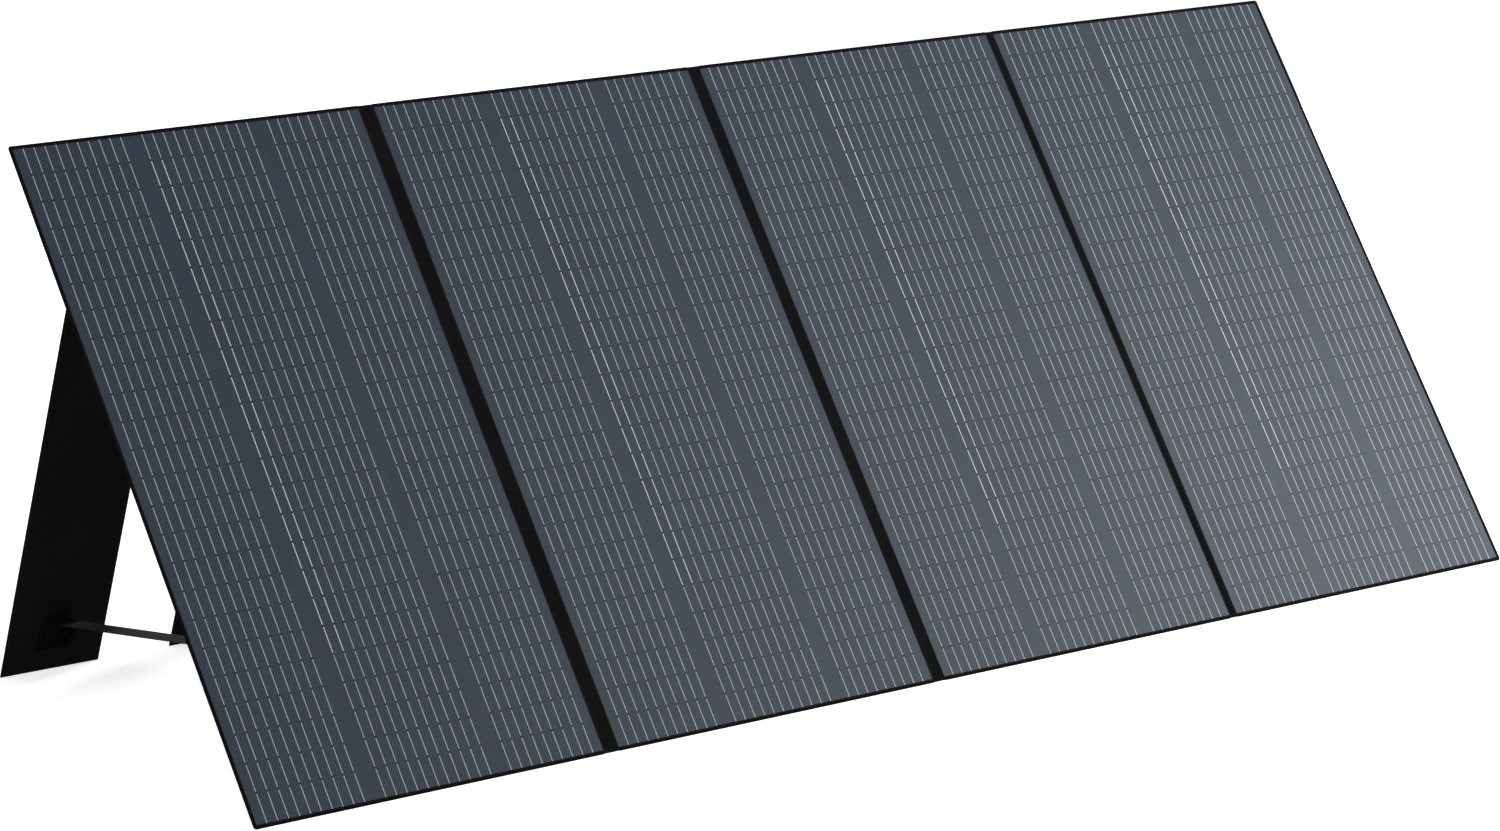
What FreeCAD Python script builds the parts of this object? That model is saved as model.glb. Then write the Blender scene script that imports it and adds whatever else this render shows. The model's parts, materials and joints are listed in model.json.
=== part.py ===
"""Folding solar panel: four rigid panels joined by fabric hinges, leaning back on board kickstands.

Millimetres, +Z up. The origin is on the ground, at the middle of the opened panel's footprint.
+X runs along the opened panel, and the cells face -Y and up.
"""
import os

import FreeCAD
import Part
import Sketcher

# alias, value, meaning. Lengths in millimetres, angles in degrees.
DIMENSIONS = (
    ("tilt", 54.93, "panel face above the ground"),
    ("leg_slope", 69.5, "opened kickstand above the ground"),
    ("panel_height", 1036.5, "bottom edge to top edge, along the face"),
    ("face_width", 581.0, "cell face of one panel, between the black borders"),
    ("fold_width_1", 27.5, "fabric hinge between panels 1 and 2"),
    ("fold_width_2", 23.5, "fabric hinge between panels 2 and 3"),
    ("fold_width_3", 16.0, "fabric hinge between panels 3 and 4"),
    ("border", 4.5, "edge binding seen from the front"),
    ("border_back", 9.0, "edge binding seen from the back"),
    ("corner_radius", 4.0, "outer corners of the binding"),
    ("film_thickness", 0.5, "clear front film"),
    ("cell_thickness", 0.2, "silicon cells"),
    ("board_thickness", 1.3, "stiff backing board"),
    ("cover_thickness", 0.6, "woven back cover"),
    ("tape_thickness", 0.35, "edge binding tape"),
    ("fold_thickness", 1.0, "fabric of the fold hinges"),
    ("board_edge_gap", 1.4, "between the raised back and the edge binding"),
    ("fold_inset", 3.0, "from a fold hinge to the board beside it"),
    ("cell_top", 2.6, "top edge to the first row of cells"),
    ("cell_bottom", 7.4, "last row of cells to the bottom edge"),
    ("cell_gap", 1.6, "between neighbouring cells"),
    ("hinge_down", 40.5, "top edge to the kickstand hinges"),
    ("leg_width", 169.1, "kickstand across"),
    ("leg_thickness", 4.0, "kickstand with its sleeve"),
    ("leg_gap", 2.6, "closed kickstand to the panel's back, room for strap and patches"),
    ("leg_outer_place", 208.65, "panel's outer edge to the middle of the outer kickstand"),
    ("leg_inner_place", 82.55, "first fold hinge to the middle of the inner kickstand"),
    ("leg_head", 3.0, "kickstand's hinge line to its head"),
    ("sleeve_skin", 0.7, "fabric of the kickstand sleeve"),
    ("sleeve_hem", 8.0, "sewn hem round the kickstand's board"),
    ("sleeve_clearance", 0.1, "between the kickstand's board and its sleeve"),
    ("leg_corner", 3.0, "rounding of the kickstand's foot corners"),
    ("web_thickness", 0.8, "hinge web at the kickstand's head"),
    ("web_band", 22.0, "part of the hinge web sewn to the panel"),
    ("strap_width", 40.0, "kickstand strap across"),
    ("strap_thickness", 1.2, "webbing of the kickstand strap"),
    ("strap_up_panel", 213.0, "bottom edge to where the strap leaves the panel"),
    ("strap_up_leg", 84.0, "kickstand's foot to where the strap leaves it"),
    ("patch_width", 62.0, "strap patches across"),
    ("patch_height", 47.0, "strap patches, upper to lower edge"),
    ("patch_thickness", 1.0, "strap patches"),
    ("patch_corner", 3.0, "rounding of the strap patches"),
    ("handle_inset", 14.0, "panel edge to the handle's swing line"),
    ("handle_pitch", 150.0, "between the two webbing legs of a handle"),
    ("handle_web", 25.0, "webbing of the handles, across"),
    ("handle_web_thickness", 1.6, "webbing of the handles"),
    ("handle_tail", 35.0, "sewn tail of the handle webbing"),
    ("handle_bend", 1.5, "bend left between swing line and webbing leg"),
    ("handle_lift", 2.25, "swing line above the panel's back"),
    ("handle_clearance", 0.35, "webbing leg above the swing line"),
    ("grip_reach", 70.0, "swing line to the grip's outer side"),
    ("grip_width", 26.0, "grip across"),
    ("grip_length", 190.0, "grip along the panel's edge"),
    ("grip_thickness", 6.0, "grip"),
    ("grip_socket", 12.0, "depth of the webbing's socket in the grip"),
    ("pocket_up", 320.0, "bottom edge to the middle of the pocket"),
    ("pocket_width", 300.0, "pocket with its hem"),
    ("pocket_height", 210.0, "pocket with its hem"),
    ("pocket_hem", 12.0, "sewn hem of the pocket"),
    ("hem_thickness", 0.8, "fabric of the pocket's hem"),
    ("pocket_depth", 6.0, "height of the empty pocket above the back"),
    ("zip_place", 95.0, "middle of the pocket to the zip"),
    ("zip_length", 168.0, "chain of teeth"),
    ("zip_tape", 11.0, "one zip tape across"),
    ("zip_tape_thickness", 0.6, "zip tape"),
    ("zip_split", 1.6, "gap between the two tapes"),
    ("tooth_pitch", 2.8, "from tooth to tooth on one side"),
    ("tooth_length", 3.5, "tooth across the chain"),
    ("tooth_width", 1.2, "tooth along the chain"),
    ("tooth_height", 1.4, "tooth above the tape"),
    ("slider_width", 9.0, "zip slider across"),
    ("slider_length", 12.0, "zip slider along the chain"),
    ("slider_wall", 1.0, "roof and side walls of the slider"),
    ("slider_clearance", 0.3, "slider to teeth and tapes"),
    ("bail_rise", 3.0, "slider's bail above its roof"),
    ("bail_width", 1.4, "slider's bail across"),
    ("pull_width", 6.0, "zip pull across"),
    ("pull_length", 27.0, "zip pull"),
    ("pull_thickness", 1.2, "zip pull"),
    ("pull_bar", 1.2, "crossbar of the zip pull, inside the bail"),
    ("box_down", 186.5, "top edge to the middle of the junction box"),
    ("box_width", 118.0, "junction box across"),
    ("box_height", 78.0, "junction box, lower to upper wall"),
    ("box_depth", 13.0, "junction box base above the back"),
    ("flange_width", 9.0, "bonding flange round the junction box"),
    ("flange_thickness", 2.0, "bonding flange"),
    ("lid_inset", 2.5, "lid's step in from the base"),
    ("lid_thickness", 4.0, "junction box lid"),
    ("lid_corner", 6.0, "rounding of lid and base"),
    ("screw_inset", 8.0, "lid's edges to the screws"),
    ("screw_head", 3.0, "radius of the screw heads"),
    ("screw_sink", 1.8, "depth of the screw recesses"),
    ("gland_pitch", 48.0, "between the two cable glands"),
    ("gland_radius", 6.0, "radius of the gland nut"),
    ("gland_length", 16.0, "gland outside the box"),
)
CELL_COLUMNS = (11, 12, 10)  # cell columns of one panel, counted in line pitches
CELL_ROWS = 24
PANELS = tuple(range(1, 5))
LEGS = tuple(range(1, 5))

doc = FreeCAD.newDocument("SolarPanel")
sheet = doc.addObject("Spreadsheet::Sheet", "Dims")
for row, (alias, size, _meaning) in enumerate(DIMENSIONS, 1):
    sheet.set(f"A{row}", str(size))
    sheet.setAlias(f"A{row}", alias)
doc.recompute()

derived = doc.addObject("App::VarSet", "Derived")


def derive(name, expression, kind="App::PropertyFloat"):
    """Adds a value that follows from the sheet's sizes."""
    derived.addProperty(kind, name, "Derived")
    derived.setExpression(name, expression)
    doc.recompute()


def value(expression):
    """The number that an expression gives with the present sizes."""
    return float(derived.evalExpression(expression))


# ---- places along the opened panel ----
derive("fold_total", "Dims.fold_width_1 + Dims.fold_width_2 + Dims.fold_width_3")
derive("half_width", "(2 * Dims.border + 4 * Dims.face_width + Derived.fold_total) / 2")
derive("left_1", "-Derived.half_width + Dims.border")
derive("right_1", "Derived.left_1 + Dims.face_width")
for number in PANELS[1:]:
    derive(f"left_{number}", f"Derived.right_{number - 1} + Dims.fold_width_{number - 1}")
    derive(f"right_{number}", f"Derived.left_{number} + Dims.face_width")
derive("leg_place_1", "-Derived.half_width + Dims.leg_outer_place")
derive("leg_place_2", "Derived.right_1 - Dims.leg_inner_place")
derive("leg_place_3", "-Derived.leg_place_2")
derive("leg_place_4", "-Derived.leg_place_1")

# ---- layers, counted back from the cell face ----
derive("edge_depth", "Dims.film_thickness + Dims.cover_thickness")
derive("panel_depth", "Derived.edge_depth + Dims.cell_thickness + Dims.board_thickness")
derive("board_inset", "Dims.border_back + Dims.board_edge_gap + Dims.cover_thickness")

# ---- stance: the binding's lowest corner and the kickstands' feet touch the ground ----
derive("face_rise", "(Derived.edge_depth + Dims.tape_thickness) * cos(Dims.tilt)")
derive("hinge_up", "Dims.panel_height - Dims.hinge_down")
derive("hinge_back", "Derived.panel_depth + Dims.leg_gap")
derive("hinge_z", "Derived.face_rise + Derived.hinge_up * sin(Dims.tilt) - Derived.hinge_back * cos(Dims.tilt)")
derive("hinge_run", "Derived.hinge_up * cos(Dims.tilt) + Derived.hinge_back * sin(Dims.tilt)")
derive("leg_length", "Derived.hinge_z / sin(Dims.leg_slope)")
derive("foot_run", "Derived.hinge_run + Derived.hinge_z / tan(Dims.leg_slope) + Dims.leg_thickness / sin(Dims.leg_slope)")
derive("face_y", "-(Derived.foot_run - Dims.tape_thickness * sin(Dims.tilt)) / 2")
derive("leg_spread", "180 - Dims.tilt - Dims.leg_slope")

# Panel frame: X along the panel, Y up its slope, Z out of the cell face.
derive(
    "panel_frame",
    "placement(vector(0; Derived.face_y; Derived.face_rise); rotation(vector(1; 0; 0); Dims.tilt))",
    "App::PropertyPlacement",
)
# Back frame: Y up the slope, Z out of the back cover, X the other way along the panel.
derive(
    "back_frame",
    "Derived.panel_frame * placement(vector(0; 0; -Derived.panel_depth); rotation(vector(0; 1; 0); 180))",
    "App::PropertyPlacement",
)
# Leg frame: on the kickstands' hinge line, Y up the leg, Z towards the panel.
derive(
    "leg_frame",
    "placement(vector(0; Derived.face_y + Derived.hinge_run; Derived.hinge_z);"
    " rotation(vector(1; 0; 0); 180 - Dims.leg_slope))",
    "App::PropertyPlacement",
)

# ---- strap between kickstand and panel: its ends in the panel frame ----
derive("strap_reach", "Derived.leg_length - Dims.strap_up_leg")
derive("strap_end_y", "Derived.hinge_up - Derived.strap_reach * cos(Derived.leg_spread)")
derive("strap_end_z", "-Derived.hinge_back - Derived.strap_reach * sin(Derived.leg_spread)")
derive(
    "strap_angle",
    "atan((-Derived.panel_depth - Derived.strap_end_z) / (Derived.strap_end_y - Dims.strap_up_panel)) / 1 deg",
)
derive("strap_foot_cut", "Dims.strap_thickness / sin(Derived.strap_angle + Derived.leg_spread)")
derive("strap_head_cut", "Dims.strap_thickness / sin(Derived.strap_angle)")

nodes = []


def keep(piece, frame, x="0", y="0", z="0", turn="0"):
    """Places a finished sub-part in a frame, turned about the frame's Z, and lists it as a node."""
    piece.setExpression(
        "Placement",
        f"Derived.{frame} * placement(vector({x}; {y}; {z}); rotation(vector(0; 0; 1); {turn}))",
    )
    nodes.append(piece)
    return piece


def new_body(label):
    body = doc.addObject("PartDesign::Body", label)
    body.Label = label
    return body


def new_sketch(body, role="XY_Plane", raised="0"):
    """A sketch on one of the body's own planes, raised along that plane's normal."""
    sketch = body.newObject("Sketcher::SketchObject", "Sketch")
    plane = next(f for f in body.Origin.OriginFeatures if f.Role == role)
    sketch.AttachmentSupport = [(plane, "")]
    sketch.MapMode = "FlatFace"
    sketch.setExpression("AttachmentOffset.Base.z", raised)
    return sketch


def bind(sketch, kind, *place, size):
    """Adds a dimension to a sketch and binds it to an expression."""
    index = sketch.addConstraint(Sketcher.Constraint(kind, *place, value(size)))
    sketch.setExpression(f"Constraints[{index}]", size)


def draw_outline(sketch, corners):
    """A closed polygon, each corner dimensioned from the sketch's origin."""
    first = sketch.GeometryCount
    places = [FreeCAD.Vector(value(x), value(y), 0) for x, y in corners]
    count = len(corners)
    for i in range(count):
        sketch.addGeometry(Part.LineSegment(places[i], places[(i + 1) % count]))
    for i in range(count):
        sketch.addConstraint(Sketcher.Constraint("Coincident", first + i, 2, first + (i + 1) % count, 1))
        bind(sketch, "DistanceX", first + i, 1, size=corners[i][0])
        bind(sketch, "DistanceY", first + i, 1, size=corners[i][1])


def draw_rectangle(sketch, left, bottom, width, height):
    """An upright rectangle: one corner dimensioned from the origin, then its width and height."""
    first = sketch.GeometryCount
    x, y, w, h = (value(size) for size in (left, bottom, width, height))
    corners = [FreeCAD.Vector(*xy, 0) for xy in ((x, y), (x + w, y), (x + w, y + h), (x, y + h))]
    for i in range(4):
        sketch.addGeometry(Part.LineSegment(corners[i], corners[(i + 1) % 4]))
    for i in range(4):
        sketch.addConstraint(Sketcher.Constraint("Coincident", first + i, 2, first + (i + 1) % 4, 1))
        sketch.addConstraint(Sketcher.Constraint(("Horizontal", "Vertical")[i % 2], first + i))
    bind(sketch, "DistanceX", first, 1, size=left)
    bind(sketch, "DistanceY", first, 1, size=bottom)
    bind(sketch, "DistanceX", first, 1, first, 2, size=width)
    bind(sketch, "DistanceY", first + 1, 1, first + 1, 2, size=height)


def draw_centred(sketch, width, height, x="0", y="0"):
    draw_rectangle(sketch, f"({x}) - ({width}) / 2", f"({y}) - ({height}) / 2", width, height)


def draw_circle(sketch, x, y, radius):
    index = sketch.GeometryCount
    centre = FreeCAD.Vector(value(x), value(y), 0)
    sketch.addGeometry(Part.Circle(centre, FreeCAD.Vector(0, 0, 1), value(radius)))
    bind(sketch, "DistanceX", index, 3, size=x)
    bind(sketch, "DistanceY", index, 3, size=y)
    bind(sketch, "Radius", index, size=radius)


def pad(body, sketch, length, down=False, symmetric=False):
    feature = body.newObject("PartDesign::Pad", "Pad")
    feature.Profile = sketch
    feature.setExpression("Length", length)
    feature.Reversed = down
    if symmetric:
        feature.SideType = "Symmetric"
    doc.recompute()
    return feature


def pocket(body, sketch, depth, symmetric=False):
    """Cuts down from the sketch, and makes sure that it did cut."""
    before = body.Shape.Volume
    feature = body.newObject("PartDesign::Pocket", "Pocket")
    feature.Profile = sketch
    feature.setExpression("Length", depth)
    if symmetric:
        feature.SideType = "Symmetric"
    doc.recompute()
    if not body.Shape.Volume < before:
        raise RuntimeError(f"{body.Label}: a pocket cut nothing")
    return feature


def dress(body, kind, size_name, size, wanted):
    """A fillet or chamfer on those edges of the body's tip that wanted() picks."""
    tip = body.Tip
    picked = [f"Edge{i}" for i, edge in enumerate(tip.Shape.Edges, 1) if wanted(edge)]
    if not picked:
        raise RuntimeError(f"{body.Label}: no edge to dress")
    feature = body.newObject(kind, "Dress")
    feature.Base = (tip, picked)
    feature.setExpression(size_name, size)
    doc.recompute()
    return feature


def round_over(body, radius, wanted):
    return dress(body, "PartDesign::Fillet", "Radius", radius, wanted)


def bevel(body, size, wanted):
    return dress(body, "PartDesign::Chamfer", "Size", size, wanted)


def upright(edge):
    """Is the edge straight and along Z?"""
    run = edge.Vertexes[-1].Point - edge.Vertexes[0].Point
    return edge.Curve.TypeId == "Part::GeomLine" and abs(run.z) > 0.99 * edge.Length


def at_height(height):
    """Picks the edges that lie flat at a height."""
    level = value(height)
    return lambda edge: all(abs(vertex.Point.z - level) < 1e-6 for vertex in edge.Vertexes)


def plate(label, width, height, thickness, corner=None, edge_round=None):
    """A centred plate with rounded corners, and its upper edges rounded over."""
    body = new_body(label)
    sketch = new_sketch(body)
    draw_centred(sketch, width, height)
    pad(body, sketch, thickness)
    if corner:
        round_over(body, corner, upright)
    if edge_round:
        round_over(body, edge_round, at_height(thickness))
    return body


# ---- panels ----
def layer_outline(number, free_inset, fold_inset):
    """Left, bottom, width and height of a layer, set in from the free edges and from the fold hinges."""
    free_left = f"-Derived.half_width + ({free_inset})"
    free_right = f"Derived.half_width - ({free_inset})"
    left = free_left if number == PANELS[0] else f"Derived.left_{number} + ({fold_inset})"
    right = free_right if number == PANELS[-1] else f"Derived.right_{number} - ({fold_inset})"
    return left, free_inset, f"({right}) - ({left})", f"Dims.panel_height - 2 * ({free_inset})"


def at_free_side(number):
    """Picks upright edges at the side that no fold hinge joins, on an end panel."""
    limit = value("Derived.half_width - Dims.border_back")
    return lambda edge: upright(edge) and abs(edge.Vertexes[0].Point.x) > limit


def make_film(number):
    body = new_body(f"front_film_{number}")
    sketch = new_sketch(body)
    draw_rectangle(sketch, *layer_outline(number, "Dims.tape_thickness", "0"))
    pad(body, sketch, "Dims.film_thickness", down=True)
    if number in (PANELS[0], PANELS[-1]):
        round_over(body, "Dims.corner_radius - Dims.tape_thickness", at_free_side(number))
    keep(body, "panel_frame")


def make_cells(number):
    """Silicon cells in columns and rows, each its own wafer."""
    pitch = value("Dims.face_width") / sum(CELL_COLUMNS)
    rows_height = value("Dims.panel_height - Dims.cell_top - Dims.cell_bottom")
    inset = value("Derived.board_inset + Dims.cell_gap")
    lowest, highest = inset, value("Dims.panel_height") - inset
    row_pitch = rows_height / CELL_ROWS
    gap, thickness = value("Dims.cell_gap"), value("Dims.cell_thickness")
    left, bottom, width, _height = (value(size) for size in layer_outline(
        number, "Derived.board_inset + Dims.cell_gap", "Dims.fold_inset + Dims.cell_gap"))
    wafers = []
    start = value(f"Derived.left_{number}")
    for column in CELL_COLUMNS:
        x0 = max(start + gap / 2, left)
        x1 = min(start + column * pitch - gap / 2, left + width)
        for row in range(CELL_ROWS):
            y0 = max(value("Dims.cell_bottom") + row * row_pitch + gap / 2, lowest)
            y1 = min(value("Dims.cell_bottom") + (row + 1) * row_pitch - gap / 2, highest)
            wafers.append(Part.makeBox(x1 - x0, y1 - y0, thickness, FreeCAD.Vector(x0, y0, -thickness)))
        start += column * pitch
    cells = doc.addObject("Part::Feature", f"cell_array_{number}")
    cells.Shape = Part.makeCompound(wafers)
    keep(cells, "panel_frame", z="-Dims.film_thickness")


def make_board(number):
    body = new_body(f"backing_board_{number}")
    sketch = new_sketch(body)
    draw_rectangle(sketch, *layer_outline(number, "Derived.board_inset", "Dims.fold_inset"))
    pad(body, sketch, "Dims.board_thickness", down=True)
    keep(body, "panel_frame", z="-Dims.film_thickness - Dims.cell_thickness")


def make_cover(number):
    """Woven cover: a thin rim under the film, and a raised field that holds cells and board."""
    body = new_body(f"back_cover_{number}")
    rim = new_sketch(body)
    draw_rectangle(rim, *layer_outline(number, "Dims.tape_thickness", "0"))
    pad(body, rim, "Dims.cover_thickness", down=True)
    if number in (PANELS[0], PANELS[-1]):
        round_over(body, "Dims.corner_radius - Dims.tape_thickness", at_free_side(number))
    field = new_sketch(body)
    draw_rectangle(field, *layer_outline(
        number, "Derived.board_inset - Dims.cover_thickness", "Dims.fold_inset - Dims.cover_thickness"))
    depth = "Dims.cell_thickness + Dims.board_thickness + Dims.cover_thickness"
    pad(body, field, depth, down=True)
    bevel(body, "Dims.cover_thickness", at_height(f"-({depth})"))
    hollow = new_sketch(body)
    draw_rectangle(hollow, *layer_outline(number, "Derived.board_inset", "Dims.fold_inset"))
    pocket(body, hollow, "Dims.cell_thickness + Dims.board_thickness")
    keep(body, "panel_frame", z="-Dims.film_thickness")


def make_binding(number):
    """Folded tape round the free edges: a channel that grips film and cover."""
    body = new_body(f"edge_binding_{number}")
    outer = new_sketch(body, raised="Dims.tape_thickness")
    draw_rectangle(outer, *layer_outline(number, "0", "0"))
    pad(body, outer, "Derived.edge_depth + 2 * Dims.tape_thickness", down=True)
    if number in (PANELS[0], PANELS[-1]):
        round_over(body, "Dims.corner_radius", at_free_side(number))
    cuts = (
        ("0", "Dims.tape_thickness", "Derived.edge_depth"),
        ("Dims.tape_thickness", "Dims.border", "Dims.tape_thickness"),
        ("-Derived.edge_depth", "Dims.border_back", "Dims.tape_thickness"),
    )
    for level, inset, depth in cuts:
        opening = new_sketch(body, raised=level)
        draw_rectangle(opening, *layer_outline(number, inset, "0"))
        pocket(body, opening, depth)
    keep(body, "panel_frame")


def make_fold_hinge(number):
    """Doubled fabric strip between two panels."""
    body = new_body(f"fold_hinge_{number}")
    sketch = new_sketch(body)
    draw_rectangle(sketch, f"Derived.right_{number}", "0", f"Dims.fold_width_{number}", "Dims.panel_height")
    pad(body, sketch, "Dims.fold_thickness", down=True)
    keep(body, "panel_frame", z="-Derived.edge_depth + Dims.fold_thickness")


# ---- kickstands ----
def make_sleeve(number):
    """Fabric sleeve with its foot cut flat to the ground and a closed cavity for the board."""
    body = new_body(f"leg_sleeve_{number}")
    side = new_sketch(body, "YZ_Plane")
    draw_outline(side, (
        ("-Dims.leg_head", "0"),
        ("-Derived.leg_length", "0"),
        ("-Derived.leg_length - Dims.leg_thickness / tan(Dims.leg_slope)", "-Dims.leg_thickness"),
        ("-Dims.leg_head", "-Dims.leg_thickness"),
    ))
    pad(body, side, "Dims.leg_width", symmetric=True)
    foot = value("-Derived.leg_length") + 1
    round_over(body, "Dims.leg_corner", lambda edge: (
        abs(edge.Vertexes[0].Point.z - edge.Vertexes[-1].Point.z) > 1 and edge.Vertexes[0].Point.y < foot
        and abs(edge.Vertexes[0].Point.x - edge.Vertexes[-1].Point.x) < 1e-6))
    cavity = new_sketch(body, "YZ_Plane")
    draw_rectangle(
        cavity, "-Derived.leg_length + Dims.sleeve_hem", "-Dims.leg_thickness + Dims.sleeve_skin",
        "Derived.leg_length - Dims.leg_head - 2 * Dims.sleeve_hem", "Dims.leg_thickness - 2 * Dims.sleeve_skin")
    pocket(body, cavity, "Dims.leg_width - 2 * Dims.sleeve_hem", symmetric=True)
    keep(body, "leg_frame", x=f"Derived.leg_place_{number}")


def make_leg_board(number):
    body = new_body(f"leg_board_{number}")
    sketch = new_sketch(body)
    play = "Dims.sleeve_clearance"
    draw_rectangle(
        sketch, f"-Dims.leg_width / 2 + Dims.sleeve_hem + {play}", f"-Derived.leg_length + Dims.sleeve_hem + {play}",
        f"Dims.leg_width - 2 * Dims.sleeve_hem - 2 * {play}",
        f"Derived.leg_length - Dims.leg_head - 2 * Dims.sleeve_hem - 2 * {play}")
    pad(body, sketch, f"Dims.leg_thickness - 2 * Dims.sleeve_skin - 2 * {play}", down=True)
    round_over(body, "Dims.leg_corner", upright)
    keep(body, "leg_frame", x=f"Derived.leg_place_{number}", z=f"-Dims.sleeve_skin - {play}")


def make_leg_web(number):
    """Hinge web: a band sewn to the panel, bent down onto the kickstand's head."""
    body = new_body(f"leg_web_{number}")
    side = new_sketch(body, "YZ_Plane")
    head_y = "Derived.hinge_up - Dims.leg_head * cos(Derived.leg_spread)"
    head_z = "-Derived.hinge_back - Dims.leg_head * sin(Derived.leg_spread)"
    thick = "Dims.web_thickness"
    draw_outline(side, (
        ("Derived.hinge_up + Dims.web_band", "-Derived.panel_depth"),
        ("Derived.hinge_up + Dims.web_band", f"-Derived.panel_depth - {thick}"),
        (f"Derived.hinge_up + {thick}", f"-Derived.panel_depth - {thick}"),
        (f"{head_y} + {thick} * sin(Derived.leg_spread)", f"{head_z} - {thick} * cos(Derived.leg_spread)"),
        (head_y, head_z),
        (f"Derived.hinge_up - {thick}", "-Derived.panel_depth"),
    ))
    pad(body, side, "Dims.leg_width", symmetric=True)
    keep(body, "panel_frame", x=f"Derived.leg_place_{number}")


def make_strap(number):
    """Webbing that holds the kickstand at its angle, pulled straight."""
    body = new_body(f"leg_strap_{number}")
    side = new_sketch(body, "YZ_Plane")
    draw_outline(side, (
        ("Dims.strap_up_panel", "-Derived.panel_depth"),
        ("Derived.strap_end_y", "Derived.strap_end_z"),
        ("Derived.strap_end_y + Derived.strap_foot_cut * cos(Derived.leg_spread)",
         "Derived.strap_end_z + Derived.strap_foot_cut * sin(Derived.leg_spread)"),
        ("Dims.strap_up_panel + Derived.strap_head_cut", "-Derived.panel_depth"),
    ))
    pad(body, side, "Dims.strap_width", symmetric=True)
    keep(body, "panel_frame", x=f"Derived.leg_place_{number}")


def make_leg_patch(number):
    """Sewn patch that holds the strap's end, on the kickstand's inner side."""
    body = plate(f"leg_patch_{number}", "Dims.patch_width", "Dims.patch_height", "Dims.patch_thickness",
                 "Dims.patch_corner")
    keep(body, "leg_frame", x=f"Derived.leg_place_{number}",
         y="-Derived.strap_reach - Dims.patch_height / 2")


def make_strap_anchors(panel, legs):
    """Sewn patches that hold the straps' upper ends, on the panel's back."""
    body = new_body(f"strap_anchors_{panel}")
    sketch = new_sketch(body)
    for number in legs:
        draw_centred(sketch, "Dims.patch_width", "Dims.patch_height", x=f"-Derived.leg_place_{number}")
    pad(body, sketch, "Dims.patch_thickness")
    round_over(body, "Dims.patch_corner", upright)
    keep(body, "back_frame", y="Dims.strap_up_panel - Dims.patch_height / 2")


# ---- carry handles: local X from the swing line over the panel's back, Z out of the back ----
def place_handle(piece, panel):
    if panel == 1:
        keep(piece, "back_frame", x="Derived.half_width - Dims.handle_inset", y="Dims.panel_height / 2", turn="180")
    else:
        keep(piece, "back_frame", x=f"-Derived.right_{panel} + Dims.handle_inset", y="Dims.panel_height / 2")


def webbing_pair(label, start, end, low, thickness):
    """The two strips of webbing of a handle."""
    body = new_body(label)
    sketch = new_sketch(body, raised=low)
    for side in ("-", ""):
        draw_rectangle(
            sketch, start, f"{side}Dims.handle_pitch / 2 - Dims.handle_web / 2", f"({end}) - ({start})",
            "Dims.handle_web")
    pad(body, sketch, thickness)
    return body


def make_handle(panel):
    web_low = "Dims.handle_lift + Dims.handle_clearance"
    tails = webbing_pair(
        f"handle_tails_{panel}", "Dims.handle_bend / 2", "Dims.handle_bend / 2 + Dims.handle_tail", "0",
        "Dims.handle_web_thickness")
    place_handle(tails, panel)
    socket_end = "Dims.grip_reach - Dims.grip_width + Dims.grip_socket"
    legs = webbing_pair(
        f"handle_web_{panel}", "Dims.handle_bend", socket_end, web_low, "Dims.handle_web_thickness")
    place_handle(legs, panel)

    grip = new_body(f"handle_grip_{panel}")
    middle = f"{web_low} + Dims.handle_web_thickness / 2"
    outline = new_sketch(grip, raised=f"{middle} - Dims.grip_thickness / 2")
    draw_rectangle(outline, "Dims.grip_reach - Dims.grip_width", "-Dims.grip_length / 2",
                   "Dims.grip_width", "Dims.grip_length")
    pad(grip, outline, "Dims.grip_thickness")
    round_over(grip, "Dims.grip_width * 0.45", upright)
    round_over(grip, "Dims.grip_thickness * 0.4", lambda edge: not upright(edge))
    sockets = new_sketch(grip, raised=f"{web_low} + Dims.handle_web_thickness")
    for side in ("-", ""):
        draw_rectangle(
            sockets, "Dims.grip_reach - Dims.grip_width - 1",
            f"{side}Dims.handle_pitch / 2 - Dims.handle_web / 2", "Dims.grip_socket + 1", "Dims.handle_web")
    pocket(grip, sockets, "Dims.handle_web_thickness")
    place_handle(grip, panel)


# ---- zip pocket and junction box, on the back of panel 2 ----
BACK_MIDDLE = "-(Derived.left_2 + Derived.right_2) / 2"
derive("box_up", "Dims.panel_height - Dims.box_down")


def make_pocket():
    """Flat, empty pouch: a sewn hem and a raised field with soft edges."""
    body = new_body("pocket_pouch")
    hem = new_sketch(body)
    draw_centred(hem, "Dims.pocket_width", "Dims.pocket_height")
    pad(body, hem, "Dims.hem_thickness")
    round_over(body, "Dims.pocket_hem / 2", upright)
    field = new_sketch(body)
    draw_centred(field, "Dims.pocket_width - 2 * Dims.pocket_hem", "Dims.pocket_height - 2 * Dims.pocket_hem")
    pad(body, field, "Dims.pocket_depth")
    bevel(body, "(Dims.pocket_depth - Dims.hem_thickness) * 0.8", at_height("Dims.pocket_depth"))
    keep(body, "back_frame", x=BACK_MIDDLE, y="Dims.pocket_up")


def keep_on_zip(piece, y="0", z="0"):
    """The zip's frame: Y along the chain, Z out of the tapes' lower face."""
    keep(piece, "back_frame", x=f"{BACK_MIDDLE} - Dims.zip_place", y=f"Dims.pocket_up + ({y})",
         z=f"Dims.pocket_depth + ({z})")


def make_zip_tapes():
    body = new_body("zip_tapes")
    sketch = new_sketch(body)
    for left in ("-Dims.zip_tape - Dims.zip_split / 2", "Dims.zip_split / 2"):
        draw_rectangle(sketch, left, "-Dims.zip_length / 2", "Dims.zip_tape", "Dims.zip_length")
    pad(body, sketch, "Dims.zip_tape_thickness")
    keep_on_zip(body)


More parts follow.
